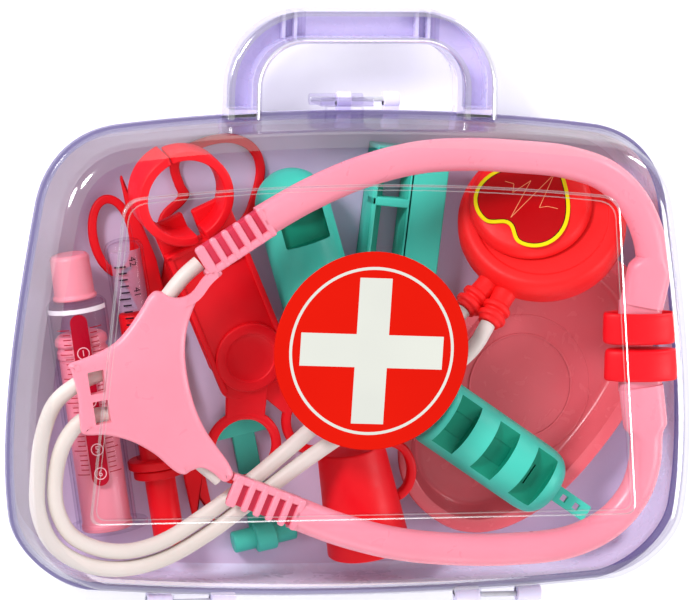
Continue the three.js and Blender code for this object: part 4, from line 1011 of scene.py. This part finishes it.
def chest_matrix():
    axis = turned_by(CHEST_TOWARD) @ Vector((0, 1, 0))
    return Matrix.Translation(CHEST_PLACE) @ turned_by(CHEST_LEAN, axis)


def heart_outline(inset):
    right = [(0, -1)]
    for start in (0, 3, 6):
        right += bezier(HEART[start:start + 4], 12)
    line = right + [(-x, y) for x, y in right[1:-1]][::-1]
    return drawn_in(wound([(x * HEART_SIZE, y * HEART_SIZE) for x, y in line], True), inset)


def add_chest_piece():
    place = chest_matrix()
    skin = Skin()
    skin.turned(CHEST_BODY, UPRIGHT, 96, edge=2.4, edge_steps=6)
    for angle in NOZZLE_ANGLES:
        skin.turned(NOZZLE, NOZZLE_DROP @ turned_by(angle - 90), 36, edge=0.7)
    skin.done("chest_body", chest_red, "chest_piece_body", place, crease=TURNED_CREASE)
    skin = Skin()
    skin.turned(CHEST_FACE, CAP_SHIFT @ UPRIGHT, 96, edge=2.2, edge_steps=6)
    skin.done("chest_face", chest_red, "chest_piece_face", place, crease=TURNED_CREASE)
    skin = Skin()
    outlines = [heart_outline(inset) for inset in HEART_BANDS]
    skin.filled(outlines[:2], HEART_TOP, 1)
    skin.filled(outlines[1:], HEART_TOP, 2)
    skin.filled(outlines[2:], HEART_TOP)
    edges = ((0.1, HEART_TOP), (0, HEART_TOP - 0.1), (0, HEART_Z))
    skin.walls(heart_outline, edges, 1, (False, True))
    trace = [Vector(p) * HEART_SIZE for p in HEART_TRACE]
    for a, b in zip(trace, trace[1:]):
        along = (b - a).normalized() * TRACE_WIDTH / 2
        side = Vector((-along.y, along.x))
        stroke = [tuple(corner) for corner in (a - side, b - side, b + side, a + side)]
        skin.filled([stroke], HEART_TOP + 0.02, 3)
    skin.done(
        "heart_print", [heart_red, heart_yellow, heart_dark, heart_line], "heart_sticker",
        place @ CAP_SHIFT @ turned_by(HEART_TURN),
    )


# Labels wrapped round a tube
def on_tube(radius, angle, y):
    return radius * math.sin(angle), y, radius * math.cos(angle)


def wrapped(skin, radius, angles, along, slot, steps=6):
    """Patch between two angles round the tube and two places along it"""
    rows = []
    for k in range(steps + 1):
        angle = math.radians(angles[0] + (angles[1] - angles[0]) * k / steps)
        rows.append(skin.ring([on_tube(radius, angle, y) for y in along]))
    for first, second in zip(rows, rows[1:]):
        skin.bridge(first, second, slot, False)


def wrapped_points(skin, radius, triangles, slot):
    """Flat triangles (mm across, mm along) laid round the tube"""
    for corners in triangles:
        skin.face(tuple(skin.ring([on_tube(radius, x / radius, y) for x, y in corners])), slot)


def text_triangles(text, size, x, y, turn):
    """Triangles of a number, centred on a place"""
    data = bpy.data.curves.new("digits", "FONT")
    data.body = text
    data.size = size
    data.align_x = "CENTER"
    data.align_y = "CENTER"
    data.resolution_u = 3
    holder = linked("digits", data)
    mesh = bpy.data.meshes.new_from_object(holder)
    mesh.calc_loop_triangles()
    c = math.cos(math.radians(turn))
    s = math.sin(math.radians(turn))
    flat = [
        (x + v.co.x * c - v.co.y * s, y + v.co.x * s + v.co.y * c) for v in mesh.vertices
    ]
    triangles = [[flat[i] for i in t.vertices] for t in mesh.loop_triangles]
    bpy.data.objects.remove(holder)
    bpy.data.curves.remove(data)
    bpy.data.meshes.remove(mesh)
    return triangles


def ring_triangles(x, y, outer, inner, steps=20):
    out = circle(x, y, outer, steps)
    into = circle(x, y, inner, steps)
    made = []
    for k in range(steps):
        j = (k + 1) % steps
        made += [[out[k], out[j], into[j]], [out[k], into[j], into[k]]]
    return made


# Syringe
SYRINGE_PLACE = turned_place((-90.8, -66.2, 17.8), 9.2)
BARREL = [
    (10.3, 0), (15.4, 0), (15.4, 1.8), (11.4, 1.8), (11.4, 86.2), (9.8, 88), (4.4, 88),
    (4, 97), (1.6, 97), (1.6, 86.9), (10.3, 86.9),
]
SYRINGE_CAP = [
    (4.7, 88.3), (8.3, 88.3), (8.3, 89.6), (7.6, 90.2), (7.4, 104), (6.4, 105.3), (0, 105.3),
    (0, 99.5), (4.7, 99.3),
]
PLUNGER = [
    (0, 0), (9.6, 0), (9.6, 2.4), (9.2, 2.8), (9.2, 66), (9.6, 66.4), (9.6, 69), (9, 69.6),
    (9, 70.8), (9.9, 71.3), (9.9, 73.4), (8.4, 75), (0, 75),
]
LABEL_RADIUS = 11.47
LABEL_HALF = 3.3
LABEL_FROM = 18.5
LABEL_TO = 84
LABEL_TOP = 78.4
LABEL_PITCH = 9.2
LABEL_NUMBER = (3.4, 0.2)
LABEL_RING = (2.4, 2.0)
LABEL_TURN = turned_by(-10, "Y")
TICK_FROM = 19
TICK_HALF = 0.18
HIGHLIGHT_BAND_ALONG = (84.2, 86)


def label_half(y):
    """Half the label's width, with its round ends"""
    near = min(y - LABEL_FROM, LABEL_TO - y)
    if near >= LABEL_HALF:
        return LABEL_HALF
    return math.sqrt(max(LABEL_HALF**2 - (LABEL_HALF - near) ** 2, 0.01))


def add_label(skin):
    strip = softened(box_outline(-LABEL_HALF, LABEL_HALF, LABEL_FROM, LABEL_TO), 3.2, True, 8)
    levels = sorted({round(y, 3) for x, y in strip if x <= 0})
    for ends in zip(levels, levels[1:]):
        rows = []
        for y in ends:
            angles = [label_half(y) * (k / 3 - 1) / LABEL_RADIUS for k in range(7)]
            rows.append(skin.ring([on_tube(LABEL_RADIUS, angle, y) for angle in angles]))
        skin.bridge(rows[0], rows[1], 0, False)
    size, x = LABEL_NUMBER
    for n in range(7):
        y = LABEL_TOP - n * LABEL_PITCH
        if n > 0:
            marks = ring_triangles(x, y, *LABEL_RING) + text_triangles(str(n), size, x, y, 0)
            wrapped_points(skin, LABEL_RADIUS + 0.03, marks, 1)
        for k in range(5 if n < 6 else 1):
            tick_y = y - k * LABEL_PITCH / 5
            reach = 27 if k == 0 else 16
            for side in (-1, 1):
                wrapped(
                    skin, LABEL_RADIUS, (side * TICK_FROM, side * (TICK_FROM + reach)),
                    (tick_y - TICK_HALF, tick_y + TICK_HALF), 0,
                )
    # The pale band under the shoulder is a painted highlight
    wrapped(skin, LABEL_RADIUS, (-68, 68), HIGHLIGHT_BAND_ALONG, 2, 16)


def add_syringe():
    skin = Skin()
    skin.turned(BARREL, steps=72, closed=True, edge=0.5, edge_steps=3)
    skin.done("barrel", clear_thin, "syringe_barrel", SYRINGE_PLACE)
    skin = Skin()
    add_label(skin)
    skin.done(
        "barrel_scale", [scale_red, scale_pale, scale_painted_highlight], None, SYRINGE_PLACE @ LABEL_TURN,
        crease=LABEL_CREASE,
    )
    skin = Skin()
    skin.turned(SYRINGE_CAP, closed=True, edge=0.6, edge_steps=3)
    skin.done("syringe_tip_cap", pink, "syringe_cap", SYRINGE_PLACE)
    skin = Skin()
    skin.turned(PLUNGER, edge=0.6)
    skin.done("plunger_rod", pink, "syringe_plunger", SYRINGE_PLACE, "plunger")


# Thermometer
THERMOMETER_PLACE = turned_place((-71.4, -43.6, 15.3), 10.2)
THERMOMETER_TUBE = [
    (6.4, 3.9), (7.4, 3.9), (7.4, 84.4), (6.4, 86.8), (3.6, 87.9), (0, 87.9), (0, 86.9),
    (3.2, 86.9), (5.6, 86), (6.4, 84),
]
THERMOMETER_STEM = [
    (0, -30.6), (3.4, -30.6), (5.8, -28), (5.8, -3.6), (9.6, -3.6), (9.6, -0.3), (8, -0.3),
    (8, 0.3), (11.2, 0.3), (11.2, 3.6), (6.1, 3.6), (6.1, 9.6), (3, 9.6), (3, 50), (5.8, 50.6),
    (5.8, 59.4), (4.6, 60), (0, 60),
]
SCALE_BACK = (6.35, (-70, 62), (61, 84))
SCALE_RADIUS = 7.47
SCALE_FROM = 54
SCALE_PITCH = 2.45
SCALE_NUMBERS = (("42", 80), ("41", 68.3))


def add_thermometer():
    skin = Skin()
    skin.turned(THERMOMETER_TUBE, closed=True, edge=0.8, edge_steps=3)
    skin.done("thermometer_glass", clear_thin, "thermometer_tube", THERMOMETER_PLACE)
    skin = Skin()
    skin.turned(THERMOMETER_STEM, edge=0.7)
    skin.done("thermometer_core", red, "thermometer_stem", THERMOMETER_PLACE)
    skin = Skin()
    wrapped(skin, *SCALE_BACK, 0, 16)
    for k in range(11):
        y = SCALE_FROM + k * SCALE_PITCH
        reach = 36 if k % 5 == 0 else 25
        wrapped(skin, SCALE_RADIUS, (-12 - reach, -12), (y - 0.3, y + 0.3), 1)
    for text, y in SCALE_NUMBERS:
        wrapped_points(skin, SCALE_RADIUS, text_triangles(text, 3.8, 1.2, y, -90), 1)
    skin.done(
        "thermometer_scale", [scale_back, scale_black], None, THERMOMETER_PLACE,
        crease=LABEL_CREASE,
    )


# Scissors
SCISSORS_PLACE = turned_place((-68, 5, 2.3), 13.5)
BLADE_HALF = 4.3
BLADE_LENGTH = 76
BLADE_THICK = 2.3
BLADE_GAP = 0.3
BLADE_HUB = (6.2, 2.5)
FINGER_LOOP = [
    (20.2, 62), (20.2, 54), (21.4, 49.4), (18.4, 46.4), (11.6, 42.4), (9.6, 36.4), (16, 31.4),
    (30, 31.6), (39.6, 36.6), (44, 43), (48.4, 53), (47.2, 60), (41, 64.8), (30, 65.6),
]
LOOP_BAND = 3.6
THUMB_LOOPS = ((9.3, 16), (5.9, 12.6))
SCISSORS_RIVET = [(0, 0), (2.2, 0), (2.2, 3.9), (3.6, 3.9), (3.4, 4.7), (0, 4.9)]


def blade_shape(skin, side, root, from_z, loop):
    half = BLADE_HALF
    x = side * half
    tip = [(x, 0), (-x, 0), (-x, -0.7 * BLADE_LENGTH), (x, -BLADE_LENGTH)]
    shank = [(-half, 0), (half, 0), (root[0] + half, root[1]), (root[0] - half, root[1])]
    hub = [circle(0, 0, radius) for radius in BLADE_HUB]
    for outlines, edge in (([softened(tip, 1.2)], 0.6), ([shank], 0.6), (hub, 0.6), (loop, 0.8)):
        skin.plate(outlines, from_z, from_z + BLADE_THICK, edge)


def add_scissors():
    skin = Skin()
    inner = wound(flat_line(FINGER_LOOP, 5), True)
    blade_shape(skin, 1, (13, 32.4), 0, [drawn_in(inner, -LOOP_BAND), inner])
    skin.done("scissors_finger_half", red, "scissors_finger_blade", SCISSORS_PLACE)
    skin = Skin()
    loop = [circle(-11, 41.5, half_x, 56, half_y) for half_x, half_y in THUMB_LOOPS]
    blade_shape(skin, -1, (-8, 29.5), BLADE_THICK + BLADE_GAP, loop)
    skin.done(
        "scissors_thumb_half", red, "scissors_thumb_blade", SCISSORS_PLACE, "scissors_blade"
    )
    skin = Skin()
    skin.turned(SCISSORS_RIVET, UPRIGHT, 32, edge=0.3)
    skin.done("scissors_pin", steel, "scissors_rivet", SCISSORS_PLACE)


SCALPEL_TIP = Vector((-84.6, 66.8))
SCALPEL_END = Vector((-59.6, -27))
SCALPEL_Z = 7.5
SCALPEL_BLADE = 34


def add_scalpel():
    along = SCALPEL_TIP - SCALPEL_END
    place = Matrix.Translation((*SCALPEL_END, SCALPEL_Z))
    place = place @ Matrix.Rotation(math.atan2(along.y, along.x), 4, "Z")
    length = along.length
    shoulder = length - SCALPEL_BLADE
    skin = Skin()
    outline = [
        (0, -3.5), (shoulder, -3.5), (length, 1.75), (length - 1, 2.6), (shoulder, 3.5), (0, 3.5),
    ]
    skin.plate([softened(outline, 1.4)], 0, 2.6, 0.7)
    for k in range(6):
        x = 12 + k * 5
        skin.block((x, x + 1.6), (-2.6, 2.6), (2.2, 2.55), edge=0.1)
    skin.done("scalpel_body", red, "scalpel", place)


# Ring-jaw forceps
FORCEPS_PLACE = turned_place((-37.4, -2, 17.9), 25.3) @ turned_by(10, "X")
JAW_PLACE = (-0.8, 72.6)
JAW_RADIUS = 18.4
JAW_WALL = 3.6
JAW_TOP = 10
JAW_GAPS = (0.3, 1.5)
FORCEPS_THICK = 3
FORCEPS_HALF = 15
FORCEPS_LOOP = (15, 11.2)
PIVOT = (13.6, 9.3)
PIVOT_DISH = [(9.4, 1.0), (8.3, 0.62), (5.6, 0.45), (0, 0.4)]
FRONT_BODY = [(-15, -10), (-11, -14), (11, -14), (15, -10), (15, 51.4), (-15, 51.4)]
BACK_BODY = [(-15, 0), (8.6, 0), (8.6, 51.4), (-15, 51.4)]
FORCEPS_PIN = [(0, -6.3), (3.4, -6.3), (3.4, 0.2), (0, 0.35)]
FORCEPS_ARMS = (
    ("front", "forceps_arm", 1, 0, (-15.3, -33)),
    ("back", "case", -1, -3.3, (16.4, -37.4)),
)


def jaw_outline(side):
    """Half of the jaw's ring in plan: side 1 is the right half, with a narrow crease on top"""
    x, y = JAW_PLACE
    line = []
    for radius in (JAW_RADIUS, JAW_RADIUS - JAW_WALL):
        top, low = [math.asin(gap / radius) for gap in JAW_GAPS]
        angles = [top + (math.pi - low - top) * k / 32 for k in range(33)]
        if radius < JAW_RADIUS:
            angles = [math.pi - low - (math.pi - low - top) * k / 32 for k in range(33)]
        line += [(x + side * radius * math.sin(a), y + radius * math.cos(a)) for a in angles]
    return softened(line, 0.6, True, 2)


def shank_outline(loop):
    along = Vector(loop)
    reach = along.length - 15 + 3.8
    side = Vector((along.y, -along.x)).normalized()
    forward = along.normalized()
    corners = [side * 8.6, forward * reach + side * 7.6, forward * reach - side * 7.6, side * -8.6]
    return [tuple(c) for c in corners]


def add_forceps():
    x, y = JAW_PLACE
    for name, body, side, top, loop in FORCEPS_ARMS:
        skin = Skin()
        low = top - FORCEPS_THICK
        skin.plate([jaw_outline(side)], low, JAW_TOP, 0.8)
        link = sorted((x + side * 1.5, side * FORCEPS_HALF))
        skin.block(link, (36.4, y - 9.2), (low, top), 1, 0.6)
        skin.plate([circle(*loop, radius, 64) for radius in FORCEPS_LOOP], low, top, 1.2)
        skin.plate([shank_outline(loop)], low, top - 0.05, 0.8)
        if side > 0:
            skin.plate([softened(FRONT_BODY, 1.6)], low, top, 0.6)
            for edge in (-15, 12.8):
                skin.block((edge, edge + 2.2), (-9, 51.2), (low, 1))
            skin.block((-FORCEPS_HALF, FORCEPS_HALF), (49.2, 51.4), (low, 1))
            skin.plate([circle(0, 0, radius, 64) for radius in PIVOT], top - 0.5, 1.5, 0.7)
            skin.turned(PIVOT_DISH, UPRIGHT)
        else:
            skin.plate([softened(BACK_BODY, 1)], low, top, 0.5)
            skin.plate([circle(0, 0, PIVOT[0], 64)], low, top, 0.5)
        skin.done(f"forceps_{name}", red, f"forceps_{name}_arm", FORCEPS_PLACE, body)
    skin = Skin()
    skin.turned(FORCEPS_PIN, UPRIGHT, 32)
    skin.done("forceps_pin", red, "forceps_rivet", FORCEPS_PLACE)


# Teal tools
def cut_block(made, place, xs, ys, zs, corner=0.8):
    """Takes a rounded block out of a piece; the cut's faces take the piece's second material, the
    painted shade of a recess
    """
    skin = Skin()
    skin.block(xs, ys, zs, corner, 0.1, slot=1)
    mesh = skin.mesh("tool", place)
    for material in made.data.materials:
        mesh.materials.append(material)
    tool = linked("tool", mesh)
    modifier = made.modifiers.new("cut", "BOOLEAN")
    modifier.operation = "DIFFERENCE"
    modifier.solver = "EXACT"
    modifier.object = tool
    graph = bpy.context.evaluated_depsgraph_get()
    cut = bpy.data.meshes.new_from_object(made.evaluated_get(graph))
    made.modifiers.clear()
    made.data = cut
    bpy.data.objects.remove(tool)
    bpy.data.meshes.remove(mesh)
    smoothed(cut, 35)


PENLIGHT_RADIUS = 14
PENLIGHT_RECESS = 6


def add_penlight():
    place, length = along_place((-22, 55.6), (-10.4, 18.2), 16.3)
    r = PENLIGHT_RADIUS
    profile = [(0, -r)] + [(r * math.sin(a), -r * math.cos(a)) for a in quarter(12)[1:]]
    profile += [(r * math.cos(a), length + r * math.sin(a)) for a in quarter(12)[:-1]]
    skin = Skin()
    skin.turned(profile + [(0, length + r)], steps=72)
    made = skin.done("penlight_body", [teal, teal_painted_shade], "penlight", place)
    middle = length * 0.2
    recess = (middle - PENLIGHT_RECESS, middle + PENLIGHT_RECESS)
    # The recess walls take the painted shade
    cut_block(made, place, (-8.75, 8.75), recess, (r - PENLIGHT_RECESS, r + 2))


GRIP_RADIUS = 13.5
GRIP_BORE = 9.5
GRIP_END = 14
GRIP_SLOTS = (8, 26.4, 44.9)
GRIP_SLOT_HALF = 4.8
TAB_HALF = 3.25
TAB_HOLE = 1.2
TAB_HOLES = (5.5, 11.5)


def add_grip():
    place, length = along_place((33, -21.6), (80.4, -53.7), 26.8)
    skin = Skin()
    outside = [
        (GRIP_BORE, 0), (GRIP_RADIUS, 0), (GRIP_RADIUS, length - 9), (12.6, length - 4),
        (9.6, length - 1), (6.5, length), (0, length),
    ]
    inside = [(0, length - GRIP_END), (GRIP_BORE, length - GRIP_END), (GRIP_BORE, 0)]
    skin.turned(outside, steps=72, edge=2.2, edge_steps=5)
    # The bore takes the painted shade
    skin.turned(inside, steps=72, slot=1)
    # A thin plate inside the bore, in the painted shade, darkens the view through the slots
    skin.block((-4.2, 4.2), (1, length - 14.5), (7.6, 8.3), 0, 0.1, slot=1)
    made = skin.done("grip_body", [teal, teal_painted_shade], "otoscope_grip", place)
    for y in GRIP_SLOTS:
        ys = (y - GRIP_SLOT_HALF, y + GRIP_SLOT_HALF)
        cut_block(made, place, (-14.5, 14.5), ys, (8.5, 16), 0.4)
    skin = Skin()
    tab = softened(box_outline(-TAB_HALF, TAB_HALF, length - 7, length + 17), 1)
    middles = [length + y for y in TAB_HOLES]
    holes = [box_outline(-TAB_HOLE, TAB_HOLE, y - TAB_HOLE, y + TAB_HOLE) for y in middles]
    skin.plate([tab] + holes, -1, 1, 0.4)
    skin.done("grip_tab", teal, None, place)


TWEEZERS_PLACE = turned_place((21.6, 36, 2.3), -5.5)
TWEEZERS_HALF = 41
TWEEZERS_WALL = 1.9
TWEEZERS_DEPTH = 14.6
TWEEZERS_LEFT = (-14.6, -7.2)
TWEEZERS_RIGHT = (-0.6, 14.2)


def add_tweezers():
    half = TWEEZERS_HALF
    wall = TWEEZERS_WALL
    depth = TWEEZERS_DEPTH
    left = TWEEZERS_LEFT[0]
    right = TWEEZERS_RIGHT[0]
    full = (-half, half)
    skin = Skin()
    for xs, ys, zs, corner, edge in (
        (TWEEZERS_LEFT, full, (0, wall), 1.2, 0.5),
        ((left, left + wall), full, (0, depth), 0.6, 0.6),
        ((right, right + wall), full, (0, depth), 0.6, 0.6),
        (TWEEZERS_RIGHT, full, (depth - wall, depth), 1.6, 0.7),
        ((left, right + wall), (half - 9, half), (0, depth), 1.6, 0.8),
        ((left, right + wall), (18, 21.4), (depth / 2, depth), 0.6, 0.6),
    ):
        skin.block(xs, ys, zs, corner, edge)
    skin.done("tweezers_body", teal, "tweezers", TWEEZERS_PLACE)


HAMMER_HEAD = [(-11.4, 4.5), (-5.7, -4.5), (5.7, -4.5), (11.4, 4.5)]
HAMMER_RODS = ((4.2, 12.4), (5.6, 4))


def add_hammer():
    place, length = along_place((-37, -29.6), (-27.6, -72.6), 2.3)
    skin = Skin()
    skin.plate([softened(HAMMER_HEAD, 1.2)], 0, 2.8, 0.6)
    skin.block((-4.4, 4.4), (0, length), (0, 2.75), 0, 0.6)
    for radius, half in HAMMER_RODS:
        profile = [(0, -half), (radius, -half), (radius, half), (0, half)]
        skin.turned(profile, Matrix.Translation((0, length, radius)) @ ACROSS, 40, edge=1)
    skin.done("hammer_body", teal, "reflex_hammer", place)


CUP_PLACE = turned_place((10.8, -75.8, 18.5), 13.7) @ turned_by(7.5, "X")
CUP_MOUTH = 16
CUP_BASE = 12.8
CUP_LENGTH = 42
CUP_WALL = 1.6
CUP_RING = (13.4, 28.4, 10.2, 12.8)
CUP_BAND = 3.4
CUP_RING_HALF = 2.3


def cup_radius(y):
    return CUP_MOUTH + (CUP_BASE - CUP_MOUTH) * y / CUP_LENGTH


def cup_arc(band):
    """Line of the cup's ring that stands clear of the cup"""
    x, y, half_x, half_y = CUP_RING
    line = circle(x, y, half_x - band, 72, half_y - band)
    return [line[k] for k in range(-30, 31) if line[k][0] > cup_radius(line[k][1]) - 0.9]


def add_cup():
    skin = Skin()
    inside = CUP_LENGTH - CUP_WALL
    profile = [
        (0, CUP_LENGTH), (CUP_BASE, CUP_LENGTH), (cup_radius(1), 1), (CUP_MOUTH, 0),
        (CUP_MOUTH - CUP_WALL, 0), (cup_radius(inside) - CUP_WALL, inside), (0, inside),
    ]
    skin.turned(profile, steps=72, edge=1)
    skin.plate([cup_arc(0) + cup_arc(CUP_BAND)[::-1]], -CUP_RING_HALF, CUP_RING_HALF, 1.2)
    skin.done("cup_body", red, "medicine_cup", CUP_PLACE)


DISH_PLACE = turned_place((73.2, -16.9, 2.3), 51.5)
DISH_HALF = (61, 38.4)
DISH_POWER = 2.3
DISH_LEVELS = [
    (9.4, 0), (8.4, 0), (7.6, 0.5), (7, 1.6), (3.6, 9.4), (3.2, 10), (2.4, 10.2), (0.4, 10.1),
    (0, 10.5), (0, 11.2), (0.4, 11.6), (4, 11.6), (4.9, 11.3), (5.3, 10.6), (8.8, 2.9),
    (9.4, 1.9), (10.4, 1.5), (12, 1.5),
]
DISH_FLOOR = 1.5
DISH_RINGS = ((20.7, 0.8, 0.35), (28, 0.5, 0.2))


def dish_outline(inset):
    """Oval with slightly squared ends"""
    line = []
    for c, s in circle(0, 0, 1, 96):
        x = math.copysign(abs(c) ** (2 / DISH_POWER), c) * (DISH_HALF[0] - inset)
        y = math.copysign(abs(s) ** (2 / DISH_POWER), s) * (DISH_HALF[1] - inset)
        line.append((x, y))
    return line


def add_dish():
    skin = Skin()
    skin.walls(dish_outline, DISH_LEVELS, capped=(True, True))
    for radius, band, rise in DISH_RINGS:
        outlines = [circle(0, 0, radius, 96), circle(0, 0, radius - band, 96)]
        skin.plate(outlines, DISH_FLOOR - 0.1, DISH_FLOOR + rise, 0.15)
    skin.done("dish_body", dish_pink, "oval_dish", DISH_PLACE)


add_rear_shell()
add_lid()
add_sticker()
add_pins_and_latch()
add_headset()
add_ear_tip("upper")
add_ear_tip("lower")
add_chest_piece()
add_syringe()
add_thermometer()
add_scissors()
add_scalpel()
add_forceps()
add_penlight()
add_grip()
add_tweezers()
add_hammer()
add_cup()
add_dish()

# Room: pale floor and soft light
FLOOR_HALF = 3
FLOOR_DROP = 0.0002
FLOOR_PATCH = 3
WORLD_STRENGTH = 0.72
LIGHTS = (
    ("key", (-1.1, 0.9, 1.1), 0.4, 22),
    ("fill", (1.3, -0.2, 0.9), 0.7, 9),
    ("rim", (0.1, -1.4, 0.8), 0.9, 6),
    ("sparkle right", (1.2, 1.0, 0.5), 0.45, 7),
    ("sparkle left", (-1.3, 0.5, 0.4), 0.4, 5),
)


def add_floor():
    material, tree = new_material("floor")
    colour = patched(tree, (0.93, 0.93, 0.935), (0.92, 0.92, 0.925), FLOOR_PATCH)
    surface = node(tree, "BsdfPrincipled", Base_Color=colour, Roughness=0.9)
    node(tree, "OutputMaterial", Surface=surface.outputs[0])
    mesh = bpy.data.meshes.new("floor")
    corners = [(x, y, 0) for x, y in box_outline(-FLOOR_HALF, FLOOR_HALF, -FLOOR_HALF, FLOOR_HALF)]
    mesh.from_pydata(corners, [], [(0, 1, 2, 3)])
    mesh.materials.append(material)
    floor = linked("floor", mesh)
    floor.location.z = -FLOOR_DROP


def add_light(name, place, size, power):
    data = bpy.data.lights.new(name, "AREA")
    data.shape = "DISK"
    data.size = size
    data.energy = power
    light = linked(name, data)
    light.location = place
    light.rotation_euler = Vector(place).to_track_quat("Z", "Y").to_euler()


def add_world():
    world = bpy.data.worlds.new("studio")
    bpy.context.scene.world = world
    world.use_nodes = True
    background = world.node_tree.nodes["Background"]
    background.inputs["Color"].default_value = (1, 1, 1, 1)
    background.inputs["Strength"].default_value = WORLD_STRENGTH


add_floor()
add_world()
for light_settings in LIGHTS:
    add_light(*light_settings)
bpy.context.scene.view_settings.view_transform = "Standard"
bpy.context.scene.cycles.transparent_max_bounces = 24
